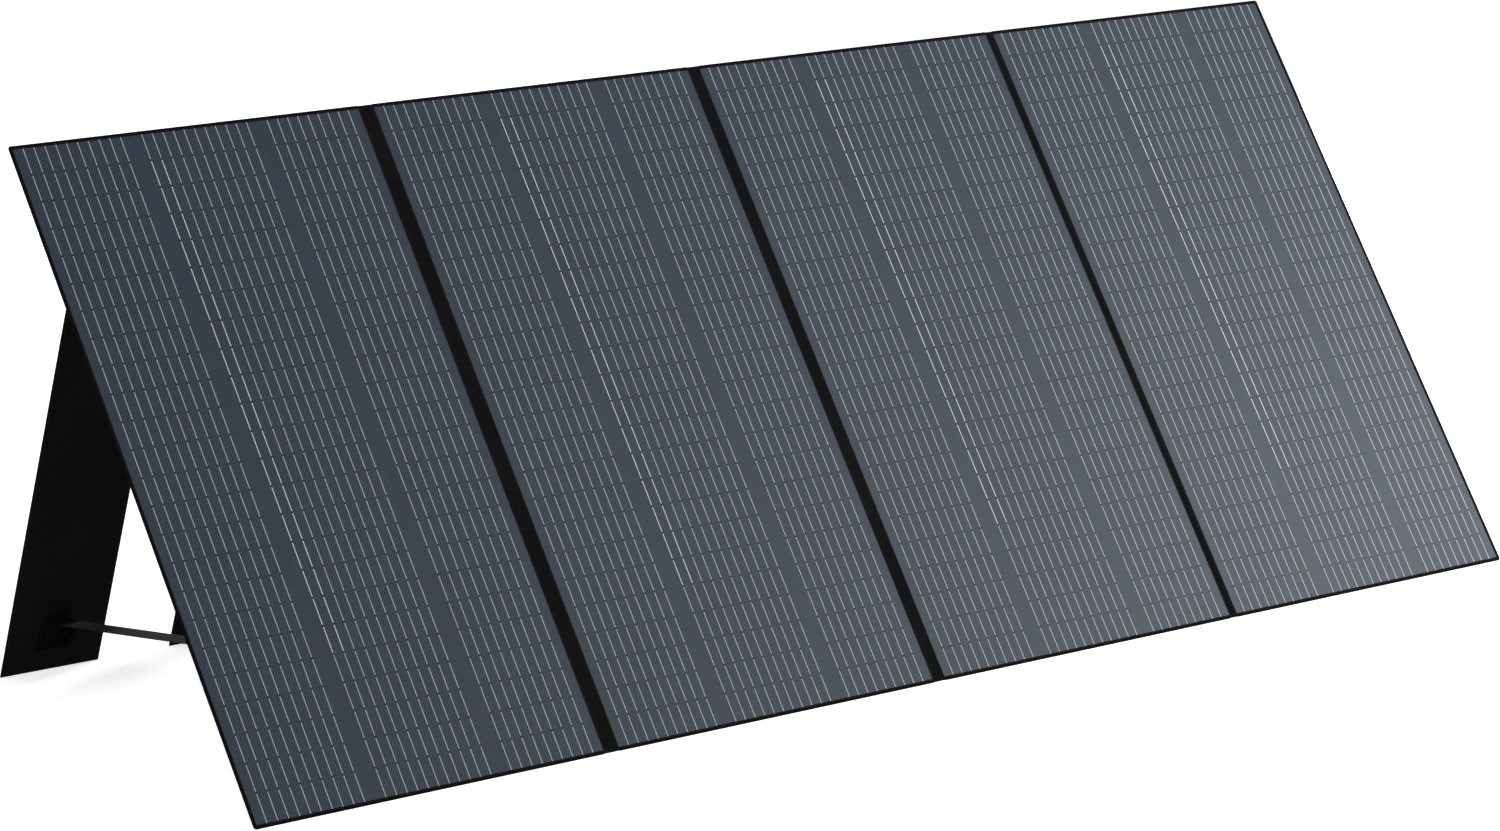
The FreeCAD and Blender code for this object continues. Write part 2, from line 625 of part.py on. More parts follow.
def make_zip_teeth():
    """Teeth sewn to the inner edge of each tape, those of one side between those of the other."""
    pitch, width = value("Dims.tooth_pitch"), value("Dims.tooth_width")
    length, height = value("Dims.tooth_length"), value("Dims.tooth_height")
    reach = value("Dims.zip_split / 2 + Dims.tooth_pitch * 0.06")
    per_side = int(value("Dims.zip_length") // pitch) - 1
    start = -value("Dims.zip_length") / 2 + pitch / 2
    teeth = []
    for side, offset in ((-1, 0.0), (1, pitch / 2)):
        inner = -side * reach
        left = min(inner, inner + side * length)
        for i in range(per_side):
            teeth.append(Part.makeBox(length, width, height, FreeCAD.Vector(left, start + offset + i * pitch, 0)))
    chain = doc.addObject("Part::Feature", "zip_teeth")
    chain.Shape = Part.makeCompound(teeth)
    keep_on_zip(chain, z="Dims.zip_tape_thickness")


SLIDER_Y = "-Dims.zip_length / 2 + Dims.slider_length / 2 + Dims.tooth_pitch / 2"
SLIDER_LOW = "Dims.zip_tape_thickness + Dims.slider_clearance"
ROOF_LOW = "Dims.zip_tape_thickness + Dims.tooth_height + Dims.slider_clearance"


def make_zip_slider():
    """A roof over the teeth, a wall down each side, and a bail for the pull."""
    body = new_body("zip_slider")
    roof = new_sketch(body, raised=SLIDER_LOW)
    draw_centred(roof, "Dims.slider_width", "Dims.slider_length")
    height = f"{ROOF_LOW} - ({SLIDER_LOW}) + Dims.slider_wall"
    pad(body, roof, height)
    round_over(body, "Dims.slider_width * 0.2", upright)
    channel = new_sketch(body, raised=ROOF_LOW)
    draw_centred(channel, "Dims.slider_width - 2 * Dims.slider_wall", "Dims.slider_length + 2")
    pocket(body, channel, f"{ROOF_LOW} - ({SLIDER_LOW}) + 1")
    bail = new_sketch(body, "YZ_Plane")
    top = f"{ROOF_LOW} + Dims.slider_wall"
    span = "Dims.slider_length * 0.7"
    draw_rectangle(bail, f"-{span} / 2", top, span, "Dims.bail_rise")
    window = "Dims.slider_length * 0.7 - 2 * Dims.bail_width"
    draw_rectangle(bail, f"-({window}) / 2", f"{top} + 0.2", window, "Dims.bail_rise - 0.2 - Dims.bail_width * 0.7")
    pad(body, bail, "Dims.bail_width", symmetric=True)
    keep_on_zip(body, y=SLIDER_Y)


def make_zip_pull():
    """Pull tab whose crossbar sits in the bail; it hangs straight down."""
    body = new_body("zip_pull")
    outline = new_sketch(body)
    draw_rectangle(outline, "-Dims.pull_width / 2", "-Dims.pull_length + Dims.pull_bar / 2",
                   "Dims.pull_width", "Dims.pull_length")
    window_width = "Dims.pull_width - 2 * Dims.pull_bar"
    draw_rectangle(outline, f"-({window_width}) / 2", "-Dims.pull_bar / 2 - Dims.bail_rise * 1.6", window_width,
                   "Dims.bail_rise * 1.6")
    pad(body, outline, "Dims.pull_thickness", symmetric=True)
    low = value("-Dims.pull_length + Dims.pull_bar / 2") + 0.01
    round_over(body, "Dims.pull_width * 0.3", lambda edge: upright(edge) and edge.Vertexes[0].Point.y < low)
    keep(body, "pull_frame")


def make_junction_box():
    base = plate("junction_base", "Dims.box_width", "Dims.box_height", "Dims.box_depth", "Dims.lid_corner")
    flange = new_sketch(base)
    draw_centred(flange, "Dims.box_width + 2 * Dims.flange_width", "Dims.box_height + 2 * Dims.flange_width")
    pad(base, flange, "Dims.flange_thickness")
    outer = value("Dims.box_width / 2 + Dims.flange_width") - 0.01
    round_over(base, "Dims.lid_corner + Dims.flange_width / 2",
               lambda edge: upright(edge) and abs(edge.Vertexes[0].Point.x) > outer)
    keep(base, "back_frame", x=BACK_MIDDLE, y="Derived.box_up")

    lid_width, lid_height = "Dims.box_width - 2 * Dims.lid_inset", "Dims.box_height - 2 * Dims.lid_inset"
    lid = plate("junction_lid", lid_width, lid_height, "Dims.lid_thickness", "Dims.lid_corner - Dims.lid_inset / 2")
    bevel(lid, "Dims.lid_thickness * 0.3", at_height("Dims.lid_thickness"))
    recesses = new_sketch(lid, raised="Dims.lid_thickness")
    heads = new_body("lid_screws")
    head_sketch = new_sketch(heads, raised="Dims.lid_thickness - Dims.screw_sink")
    for x_side in (-1, 1):
        for y_side in (-1, 1):
            x = f"{x_side} * (({lid_width}) / 2 - Dims.screw_inset)"
            y = f"{y_side} * (({lid_height}) / 2 - Dims.screw_inset)"
            draw_circle(recesses, x, y, "Dims.screw_head + 0.3")
            draw_circle(head_sketch, x, y, "Dims.screw_head")
    pocket(lid, recesses, "Dims.screw_sink")
    pad(heads, head_sketch, "Dims.screw_sink * 0.7")
    for piece in (lid, heads):
        keep(piece, "back_frame", x=BACK_MIDDLE, y="Derived.box_up", z="Dims.box_depth")


def make_cable_glands():
    """Two blind glands in the junction box's lower wall: thread, hexagon, domed nut and seal in one turned outline."""
    body = new_body("cable_glands")
    profile = new_sketch(body, "YZ_Plane")
    radius, length = "Dims.gland_radius", "Dims.gland_length"
    draw_outline(profile, (
        ("0", "0"),
        (f"-{length}", "0"),
        (f"-{length}", f"{radius} * 0.5"),
        (f"-{length} * 0.94", f"{radius} * 0.75"),
        (f"-{length} * 0.55", f"{radius} * 0.95"),
        (f"-{length} * 0.42", f"{radius} * 0.95"),
        (f"-{length} * 0.42", f"{radius} * 0.8"),
        (f"-{length} * 0.34", f"{radius} * 0.8"),
        (f"-{length} * 0.34", radius),
        ("0", radius),
    ))
    turned = body.newObject("PartDesign::Revolution", "Turned")
    turned.Profile = profile
    turned.ReferenceAxis = (profile, ["H_Axis"])
    turned.Angle = 360
    doc.recompute()
    pair = body.newObject("PartDesign::LinearPattern", "Pair")
    pair.Originals = [turned]
    pair.Direction = (next(f for f in body.Origin.OriginFeatures if f.Role == "X_Axis"), [""])
    pair.setExpression("Length", "Dims.gland_pitch")
    pair.Occurrences = 2
    body.Tip = pair
    doc.recompute()
    keep(body, "back_frame", x=f"{BACK_MIDDLE} - Dims.gland_pitch / 2", y="Derived.box_up - Dims.box_height / 2",
         z="Dims.flange_thickness + Dims.gland_radius + 0.5")


# Pull frame: on the pull's crossbar, Y straight up, so that the pull hangs.
derive("pull_y", f"Dims.pocket_up + {SLIDER_Y}")
derive(
    "pull_out",
    f"Derived.panel_depth + Dims.pocket_depth + {ROOF_LOW} + Dims.slider_wall + 0.2 + Dims.pull_bar / 2 + 0.3",
)
derive(
    "pull_frame",
    f"Derived.panel_frame * placement(vector(-({BACK_MIDDLE}) + Dims.zip_place; Derived.pull_y; -Derived.pull_out);"
    " rotation(vector(1; 0; 0); 90 - Dims.tilt))",
    "App::PropertyPlacement",
)


def make_everything():
    for number in PANELS:
        make_film(number)
        make_cells(number)
        make_board(number)
        make_cover(number)
        make_binding(number)
    for number in PANELS[:-1]:
        make_fold_hinge(number)
    for number in LEGS:
        make_sleeve(number)
        make_leg_board(number)
        make_leg_web(number)
        make_strap(number)
        make_leg_patch(number)
    make_strap_anchors(1, LEGS[:2])
    make_strap_anchors(4, LEGS[2:])
    for panel in (1, 2):
        make_handle(panel)
    make_pocket()
    make_zip_tapes()
    make_zip_teeth()
    make_zip_slider()
    make_zip_pull()
    make_junction_box()
    make_cable_glands()


def check_document():
    doc.recompute()
    for item in doc.Objects:
        if "Invalid" in item.State or "Error" in item.State:
            raise RuntimeError(f"{item.Label} failed: {item.State}")
    for piece in nodes:
        if piece.Shape.isNull() or not piece.Shape.isValid():
            raise RuntimeError(f"{piece.Label} has no valid shape")


def write_parts():
    os.makedirs("parts", exist_ok=True)
    for piece in nodes:
        piece.Shape.exportStep(f"parts/{piece.Label}.step")


make_everything()
check_document()
write_parts()
print(len(nodes), "nodes; leg length", round(derived.leg_length, 2), "leg spread", round(derived.leg_spread, 3))
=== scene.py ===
"""Looks of a folding solar panel that leans on board kickstands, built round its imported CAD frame.

Metres, in the row frame: +X along the opened panel, +Z up, cells facing -Y and up.
"""

import json
import math

import bmesh
import bpy
import numpy as np
from mathutils import Matrix, Vector


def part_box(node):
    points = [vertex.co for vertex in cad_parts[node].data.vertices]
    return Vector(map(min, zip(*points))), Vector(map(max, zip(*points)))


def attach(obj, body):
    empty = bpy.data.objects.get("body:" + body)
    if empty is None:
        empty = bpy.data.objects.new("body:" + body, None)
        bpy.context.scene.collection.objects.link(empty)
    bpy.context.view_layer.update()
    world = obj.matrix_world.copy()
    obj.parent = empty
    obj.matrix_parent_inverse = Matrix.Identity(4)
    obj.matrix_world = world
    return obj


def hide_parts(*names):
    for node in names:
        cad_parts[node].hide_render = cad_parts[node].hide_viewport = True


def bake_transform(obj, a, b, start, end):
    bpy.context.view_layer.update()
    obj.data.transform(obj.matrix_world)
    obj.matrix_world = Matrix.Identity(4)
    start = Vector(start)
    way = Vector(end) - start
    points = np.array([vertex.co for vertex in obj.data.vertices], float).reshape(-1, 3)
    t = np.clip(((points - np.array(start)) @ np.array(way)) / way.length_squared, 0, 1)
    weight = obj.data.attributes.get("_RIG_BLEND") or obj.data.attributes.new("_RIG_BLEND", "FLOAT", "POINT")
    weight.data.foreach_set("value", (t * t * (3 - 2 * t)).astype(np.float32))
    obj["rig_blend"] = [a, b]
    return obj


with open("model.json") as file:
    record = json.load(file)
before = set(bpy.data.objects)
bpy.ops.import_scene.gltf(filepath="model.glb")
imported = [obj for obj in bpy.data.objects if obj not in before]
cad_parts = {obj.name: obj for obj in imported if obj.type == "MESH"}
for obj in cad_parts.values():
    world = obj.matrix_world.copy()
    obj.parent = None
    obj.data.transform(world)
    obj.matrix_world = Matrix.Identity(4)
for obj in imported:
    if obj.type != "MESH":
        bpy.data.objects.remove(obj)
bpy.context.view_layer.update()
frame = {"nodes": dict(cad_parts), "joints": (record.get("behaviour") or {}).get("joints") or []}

MM = 0.001
HERE = Matrix.Identity(4)  # where a part already lies
CORNER_STEPS = 6  # straight pieces in a rounded corner
joints = {joint["name"]: joint for joint in frame["joints"]}

# ---------------------------------------------------------------- places, read from the CAD frame
ALONG = Vector((1, 0, 0))
UP = Vector(joints["fold_1"]["axis"])  # up the panel's slope
OUT = ALONG.cross(UP)  # out of the cell face


def reach(node, direction):
    """Lowest and highest place of a CAD node along a direction."""
    far = np.array([v.co for v in frame["nodes"][node].data.vertices]) @ np.array(direction)
    return float(far.min()), float(far.max())


def axes(x_axis, y_axis, origin):
    place = Matrix((x_axis, y_axis, x_axis.cross(y_axis))).transposed().to_4x4()
    place.translation = origin
    return place


def shift(x, y, z):
    return Matrix.Translation((x, y, z))


BOTTOM, TOP = reach("edge_binding_2", UP)
HEIGHT = TOP - BOTTOM
FACE_LEVEL = reach("front_film_1", OUT)[1]
DEPTH = FACE_LEVEL - reach("back_cover_1", OUT)[0]
FACE = axes(ALONG, UP, UP * BOTTOM + OUT * FACE_LEVEL)
BACK = FACE @ shift(0, 0, -DEPTH) @ Matrix.Rotation(math.pi, 4, "Y")


def seat(node, x_axis=-ALONG, y_axis=UP):
    """A frame under the middle of a CAD node, and the node's size in it."""
    z_axis = x_axis.cross(y_axis)
    (x0, x1), (y0, y1), (z0, z1) = (reach(node, axis) for axis in (x_axis, y_axis, z_axis))
    middle = x_axis * (x0 + x1) / 2 + y_axis * (y0 + y1) / 2 + z_axis * z0
    return axes(x_axis, y_axis, middle), Vector((x1 - x0, y1 - y0, z1 - z0))


def leg_frame(number):
    """On the kickstand's hinge line, Y up the leg, Z to the panel; and the angle that closes the leg."""
    joint = joints[f"kickstand_{number}_fold"]
    closing = math.radians(joint["range_deg"][1])
    down = Matrix.Rotation(-closing, 3, Vector(joint["axis"])) @ -UP
    return axes(ALONG, -down, Vector(joint["pos_m"])), closing


def handle_frame(number):
    """On the panel's back under the handle's swing line: X over the panel, Z out of the back."""
    joint = joints[f"handle_{number}_swing"]
    pivot = Vector(joint["pos_m"])
    lift = FACE_LEVEL - DEPTH - pivot.dot(OUT)
    inward = ALONG if number == 1 else -ALONG
    return axes(inward, -Vector(joint["axis"]), pivot + OUT * lift), lift


def panel_sides(number):
    """Left and right side of a panel's cell face, without the borders."""
    low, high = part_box(f"front_film_{number}")
    return low.x, high.x


# ---------------------------------------------------------------- meshes
def lay_uv(mesh, left=0.0):
    """A UV map in metres: X and Y of the piece's own frame, plus its depth so that sides keep a pattern."""
    points = np.zeros(len(mesh.vertices) * 3)
    mesh.vertices.foreach_get("co", points)
    points = points.reshape(-1, 3)
    corners = np.zeros(len(mesh.loops), dtype=np.int64)
    mesh.loops.foreach_get("vertex_index", corners)
    places = points[:, :2] + points[:, 2:] - (left, 0.0)
    layer = mesh.uv_layers.get("UVMap") or mesh.uv_layers.new(name="UVMap")
    layer.data.foreach_set("uv", places[corners].ravel())


def new_object(name, data):
    obj = bpy.data.objects.new(name, data)
    bpy.context.scene.collection.objects.link(obj)
    return obj


def add_piece(name, mesh, place, finishes, body=None, stands_for=(), angle=40):
    """Puts a mesh made in a local frame into the row frame as a finished piece."""
    if not mesh.uv_layers:
        lay_uv(mesh)
    mesh.transform(place)
    mesh.name = name
    several = isinstance(finishes, list)
    if not several:
        mesh.materials.clear()
    for finish in finishes if several else [finishes]:
        mesh.materials.append(finish)
    mesh.shade_smooth()
    mesh.set_sharp_from_angle(angle=math.radians(angle))
    obj = new_object(name, mesh)
    if body:
        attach(obj, body)
    if stands_for:
        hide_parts(*stands_for)
    return obj


def mesh_of(points, faces):
    mesh = bpy.data.meshes.new("mesh")
    mesh.from_pydata([tuple(p) for p in points], [], [tuple(f) for f in faces])
    mesh.update()
    return mesh


def flat(level):
    """A shell's face that lies level."""
    return lambda x, y: level


def block(width, length, thickness):
    """A plain little plate, for what is too thin to show its edges."""
    xs, ys = (-width / 2, width / 2), (-length / 2, length / 2)
    return shell(xs, ys, flat(thickness / 2), flat(-thickness / 2))


def outward(mesh):
    """Points the faces of a closed mesh outwards."""
    work = bmesh.new()
    work.from_mesh(mesh)
    bmesh.ops.remove_doubles(work, verts=work.verts, dist=1e-7)
    bmesh.ops.recalc_face_normals(work, faces=work.faces)
    work.to_mesh(mesh)
    work.free()
    return mesh


def joined(parts):
    """One mesh from (mesh, place, material index) parts."""
    work = bmesh.new()
    for mesh, place, index in parts:
        start = len(work.faces)
        work.from_mesh(mesh)
        work.faces.ensure_lookup_table()
        new = work.faces[start:]
        verts = list({v for f in new for v in f.verts})
        bmesh.ops.transform(work, matrix=place, verts=verts)
        for face in new:
            face.material_index = index
    mesh = bpy.data.meshes.new("joined")
    work.to_mesh(mesh)
    work.free()
    return mesh


def shell(xs, ys, high, low, move=None):
    """A closed sheet over a grid: high(x, y) and low(x, y) are its faces, move(x, y, z) shifts points."""
    gx, gy = np.meshgrid(np.array(xs, float), np.array(ys, float), indexing="ij")
    top = np.stack([gx, gy, np.broadcast_to(high(gx, gy), gx.shape)], -1)
    under = np.stack([gx, gy, np.broadcast_to(low(gx, gy), gx.shape)], -1)
    nx, ny = gx.shape
    points = np.concatenate([top.reshape(-1, 3), under.reshape(-1, 3)])
    if move:
        points = np.stack(move(*points.T), -1)
    at = np.arange(nx * ny).reshape(nx, ny)
    quads = np.stack([at[:-1, :-1], at[1:, :-1], at[1:, 1:], at[:-1, 1:]], -1).reshape(-1, 4)
    ring = np.concatenate([at[:, 0], at[-1, 1:], at[-2::-1, -1], at[0, -2:0:-1]])
    after = np.roll(ring, -1)
    sides = np.stack([ring, ring + nx * ny, after + nx * ny, after], -1)
    return mesh_of(points, np.concatenate([quads, quads[:, ::-1] + nx * ny, sides]))


def rings(outlines):
    """A closed skin over outlines of equally many (x, y, z) points, from the lowest to the highest."""
    count = len(outlines[0])
    points = [p for outline in outlines for p in outline]
    faces = []
    for low in range(0, len(points) - count, count):
        for i in range(count):
            j = (i + 1) % count
            faces.append((low + i, low + j, low + count + j, low + count + i))
    return mesh_of(points, [*faces, range(count)[::-1], range(len(points) - count, len(points))])


def rounded(width, height, corner, z, x):
    """Outline of a rounded rectangle at a height, its middle at x; no corner is quite sharp."""
    corner = max(min(corner, width / 2, height / 2), 1e-5)
    outline = []
    for turn, sx, sy in ((0, 1, 1), (90, -1, 1), (180, -1, -1), (270, 1, -1)):
        cx, cy = sx * (width / 2 - corner), sy * (height / 2 - corner)
        for step in range(CORNER_STEPS + 1):
            a = math.radians(turn + 90 * step / CORNER_STEPS)
            outline.append((x + cx + corner * math.cos(a), cy + corner * math.sin(a), z))
    return outline


def pad_of(width, height, corner, profile, x=0.0):
    """A plate with rounded corners, whose edge follows a profile of (inset, height)."""
    return rings([rounded(width - 2 * i, height - 2 * i, corner - i, z, x) for i, z in profile])


def swept(runs):
    """A bar from cross-sections of equally many points; its first and last are its ends."""
    count, last = len(runs[0]), len(runs) - 1
    points = [p for run in runs for p in run]
    faces = [
        (s * count + i, s * count + (i + 1) % count, (s + 1) * count + (i + 1) % count, (s + 1) * count + i)
        for s in range(last) for i in range(count)
    ]
    faces += [tuple(range(count)), tuple(range(last * count, last * count + count))[::-1]]
    return outward(mesh_of(points, faces))


def band(path, width, thickness, across):
    """Webbing laid along a path of (y, z) points: both faces slightly crowned, its selvedges rounded."""
    path = np.array(path, float)
    tangent = np.gradient(path, axis=0)
    tangent /= np.linalg.norm(tangent, axis=1)[:, None]
    normal = np.stack([-tangent[:, 1], tangent[:, 0]], -1)
    share = np.linspace(-1, 1, across + 1)
    xs = share * width / 2
    half = thickness / 2 * np.minimum(1, 0.45 + 4.5 * (1 - np.abs(share)))
    sections = []
    for spot, up in zip(path, normal):
        section = [(x, *(spot + up * h)) for x, h in zip(xs, half)]
        section += [(x, *(spot - up * h)) for x, h in zip(xs[::-1], half[::-1])]
        sections.append(section)
    return swept(sections)


def in_mm(pairs):
    return [(first * MM, second * MM) for first, second in pairs]


def steps_between(start, end, pitch):
    return np.linspace(start, end, max(2, int(round(abs(end - start) / pitch)) + 1))


def grid_lines(half, insets, field, pitch, more=()):
    """Lines of a sheet's grid: at insets in mm from both edges, evenly over the field, and any more."""
    edges = {side * (half - inset * MM) for inset in insets for side in (-1, 1)}
    return sorted({*edges, *steps_between(-field, field, pitch), *more})


def edge_ease(distance, reach_in):
    """0 at an edge, rising smoothly to 1 further in."""
    t = np.clip(distance / reach_in, 0, 1)
    return t * t * (3 - 2 * t)


def round_up(distance, reach_in):
    """0 at an edge, rising as a quarter circle to 1 further in."""
    return np.sqrt(np.clip(1 - (1 - np.clip(distance / reach_in, 0, 1)) ** 2, 0, 1))


def ripples(x, y, seed, size=0.09):
    """Soft waves between -1 and 1, the same on each run."""
    rng = np.random.default_rng(seed)
    total = 0
    for _ in range(6):
        turn, phase, scale = rng.uniform(0, math.tau), rng.uniform(0, math.tau), rng.uniform(0.6, 1.7)
        total = total + np.sin((x * math.cos(turn) + y * math.sin(turn)) * math.tau / (size * scale) + phase)
    return total / 6


# ---------------------------------------------------------------- node trees
def put(tree, kind, feeds=None, **settings):
    """Adds a node, sets its options, and feeds its inputs with values or with other nodes' sockets."""
    node = tree.nodes.new(kind)
    for key, setting in settings.items():
        setattr(node, key, setting)
    for key, feed in (feeds or {}).items():
        if isinstance(feed, bpy.types.NodeSocket):
            tree.links.new(feed, node.inputs[key])
        else:
            node.inputs[key].default_value = feed
    return node


def calc(tree, operation, *terms, clamp=False):
    return put(tree, "ShaderNodeMath", dict(enumerate(terms)), operation=operation,
               use_clamp=clamp).outputs[0]


def times(tree, *factors):
    return calc(tree, "MULTIPLY", *factors)


def times_plus(tree, value, factor, added, clamp=False):
    return calc(tree, "MULTIPLY_ADD", value, factor, added, clamp=clamp)


def noise(tree, vector, scale, detail):
    return put(tree, "ShaderNodeTexNoise", {"Vector": vector, "Scale": scale, "Detail": detail}).outputs[0]


def ramp(tree, value, start, end, low=0.0, high=1.0):
    """Straight from low at start to high at end, and level beyond."""
    return put(tree, "ShaderNodeMapRange", {0: value, 1: start, 2: end, 3: low, 4: high}).outputs[0]


def object_place(tree):
    return put(tree, "ShaderNodeTexCoord").outputs["Object"]


def new_group(name, kind, inputs, outputs):
    """A node group with named sockets; returns it with its inner input and output nodes' sockets."""
    group = bpy.data.node_groups.new(name, kind)
    for label, socket, default in inputs:
        made = group.interface.new_socket(label, in_out="INPUT", socket_type=socket)
        if default is not None:
            made.default_value = default
    for label, socket in outputs:
        group.interface.new_socket(label, in_out="OUTPUT", socket_type=socket)
    return group, group.nodes.new("NodeGroupInput").outputs, group.nodes.new("NodeGroupOutput").inputs


VECTOR, FLOAT, INT = "NodeSocketVector", "NodeSocketFloat", "NodeSocketInt"
GEOMETRY, MATERIAL = "NodeSocketGeometry", "NodeSocketMaterial"


def parts_of(tree, vector):
    return put(tree, "ShaderNodeSeparateXYZ", {0: vector}).outputs


# ---- shader groups
def make_plain_weave():
    """Over-and-under threads of a plain cloth."""
    group, given, result = new_group(
        "Plain weave", "ShaderNodeTree", [("Vector", VECTOR, None), ("Pitch", FLOAT, 0.001)],
        [("Height", FLOAT), ("Warp", FLOAT)])
    x, y, _ = parts_of(group, given["Vector"])
    waves = [calc(group, "SINE", times(group, calc(group, "DIVIDE", a, given["Pitch"]), math.pi))
             for a in (x, y)]
    over = times(group, waves[0], waves[1])
    warp = times(group, calc(group, "ABSOLUTE", waves[0]), times_plus(group, over, 0.4, 0.6))
    weft = times(group, calc(group, "ABSOLUTE", waves[1]), times_plus(group, over, -0.4, 0.6))
    group.links.new(calc(group, "MAXIMUM", warp, weft), result["Height"])
    group.links.new(calc(group, "GREATER_THAN", warp, weft), result["Warp"])
    return group


def make_ribbed_weave():
    """Webbing and tape: ribs along Y, each broken into staggered picks."""
    group, given, result = new_group(
        "Ribbed weave", "ShaderNodeTree",
        [("Vector", VECTOR, None), ("Rib", FLOAT, 0.0016), ("Pick", FLOAT, 0.001)], [("Height", FLOAT)])
    x, y, _ = parts_of(group, given["Vector"])
    rib = calc(group, "DIVIDE", x, given["Rib"])
    round_rib = calc(group, "ABSOLUTE", calc(group, "SINE", times(group, rib, math.pi)))
    stagger = times(group, calc(group, "FLOOR", rib), 0.5)
    pick = calc(group, "ADD", calc(group, "DIVIDE", y, given["Pick"]), stagger)
    notch = calc(group, "ABSOLUTE", calc(group, "SINE", times(group, pick, math.pi)))
    group.links.new(times(group, round_rib, times_plus(group, notch, 0.45, 0.55)),
                    result["Height"])
    return group


def make_handling():
    """Marks of use: broad faded patches and fine dust."""
    group, given, result = new_group(
        "Handling marks", "ShaderNodeTree",
        [("Vector", VECTOR, None), ("Patch", FLOAT, 6.0), ("Dust", FLOAT, 320.0)],
        [("Faded", FLOAT), ("Specks", FLOAT)])
    faded = ramp(group, noise(group, given["Vector"], given["Patch"], 4.0), 0.42, 0.72)
    specks = ramp(group, noise(group, given["Vector"], given["Dust"], 2.0), 0.62, 0.8)
    group.links.new(faded, result["Faded"])
    group.links.new(specks, result["Specks"])
    return group


def make_grain():
    """Fine spark-eroded grain of moulded plastic and rubber."""
    group, given, result = new_group(
        "Moulded grain", "ShaderNodeTree", [("Vector", VECTOR, None), ("Scale", FLOAT, 1500.0)],
        [("Height", FLOAT)])
    place, scale = given["Vector"], given["Scale"]
    cells = put(group, "ShaderNodeTexVoronoi", {"Vector": place, "Scale": scale}).outputs[0]
    fine = noise(group, place, times(group, scale, 0.4), 2.0)
    group.links.new(times_plus(group, cells, 0.6, fine), result["Height"])
    return group


def make_edge_wear():
    """A mask on the edges of hard pieces, broken up by noise."""
    group, given, result = new_group("Edge wear", "ShaderNodeTree", [
        ("Vector", VECTOR, None), ("Width", FLOAT, 0.0008)], [("Mask", FLOAT)])
    bent = put(group, "ShaderNodeBevel", {"Radius": given["Width"]}, samples=4)
    true = put(group, "ShaderNodeNewGeometry")
    facing = {0: bent.outputs[0], 1: true.outputs["Normal"]}
    match = put(group, "ShaderNodeVectorMath", facing, operation="DOT_PRODUCT").outputs["Value"]
    edge = ramp(group, match, 0.995, 0.85)
    broken = ramp(group, noise(group, given["Vector"], 90.0, 3.0), 0.4, 0.65)
    group.links.new(times(group, edge, broken), result["Mask"])
    return group


PLAIN_WEAVE = make_plain_weave()
RIBBED_WEAVE = make_ribbed_weave()
HANDLING = make_handling()
GRAIN = make_grain()
EDGE_WEAR = make_edge_wear()


def rgb(red, green, blue):
    """A linear colour from 0-255 screen values."""
    linear = [c / 3294.6 if c <= 10.31 else ((c / 255 + 0.055) / 1.055) ** 2.4 for c in (red, green, blue)]
    return (*linear, 1.0)


def toned(colour, factor):
    return (*[c * factor for c in colour[:3]], 1)


def new_finish(name, **sockets):
    """A material with a Principled shader, with its tree and shader for what varies over the surface."""
    material = bpy.data.materials.new(name)
    material.use_nodes = True
    tree = material.node_tree
    tree.nodes.clear()
    shader = put(tree, "ShaderNodeBsdfPrincipled", {k.replace("_", " "): v for k, v in sockets.items()})
    put(tree, "ShaderNodeOutputMaterial", {"Surface": shader.outputs[0]})
    return material, tree, shader


def blend_colours(tree, share, low, high):
    return put(tree, "ShaderNodeMix", {0: share, 6: low, 7: high}, data_type="RGBA").outputs[2]


def use_group(tree, group, feeds):
    return put(tree, "ShaderNodeGroup", feeds, node_tree=group).outputs


def bump(tree, shader, height, distance):
    made = put(tree, "ShaderNodeBump", {"Height": height, "Distance": distance})
    tree.links.new(made.outputs[0], shader.inputs["Normal"])


def dress(tree, shader, colour, roughness):
    tree.links.new(colour, shader.inputs["Base Color"])
    tree.links.new(roughness, shader.inputs["Roughness"])


def turned_uv(tree, turn=0):
    uv = put(tree, "ShaderNodeUVMap", uv_map="UVMap").outputs[0]
    if not turn:
        return uv
    return put(tree, "ShaderNodeMapping", {"Vector": uv, "Rotation": (0, 0, math.radians(turn))}).outputs[0]


def make_cloth(name, dark, light, pitch, depth, *, gloss, rough=0.85, turn=0):
    """Plain woven cloth: threads, faint fading and dust."""
    material, tree, shader = new_finish(name, Specular_IOR_Level=gloss)
    place = turned_uv(tree, turn)
    threads = use_group(tree, PLAIN_WEAVE, {"Vector": place, "Pitch": pitch})
    marks = use_group(tree, HANDLING, {"Vector": object_place(tree)})
    tone = times(tree, threads["Height"], times_plus(tree, noise(tree, place, 140.0, 2.0), 0.8, 0.5))
    colour = blend_colours(tree, tone, dark, light)
    worn = blend_colours(tree, times(tree, marks["Faded"], 0.3), colour, toned(light, 1.5))
    roughness = times_plus(tree, threads["Warp"], -0.08, rough)
    dress(tree, shader, worn, times_plus(tree, marks["Specks"], 0.06, roughness))
    bump(tree, shader, threads["Height"], depth)
    return material


def make_webbing(name, dark, light, rib, pick, depth, *, gloss):
    """Ribbed webbing or tape, its ribs along the piece."""
    material, tree, shader = new_finish(name, Specular_IOR_Level=gloss)
    ribs = use_group(tree, RIBBED_WEAVE, {"Vector": turned_uv(tree), "Rib": rib, "Pick": pick})
    marks = use_group(tree, HANDLING, {"Vector": object_place(tree), "Patch": 14.0})
    colour = blend_colours(tree, ribs["Height"], dark, light)
    worn = blend_colours(tree, times(tree, marks["Faded"], 0.35), colour, toned(light, 1.4))
    dress(tree, shader, worn, times_plus(tree, ribs["Height"], -0.12, 0.8))
    bump(tree, shader, ribs["Height"], depth)
    return material


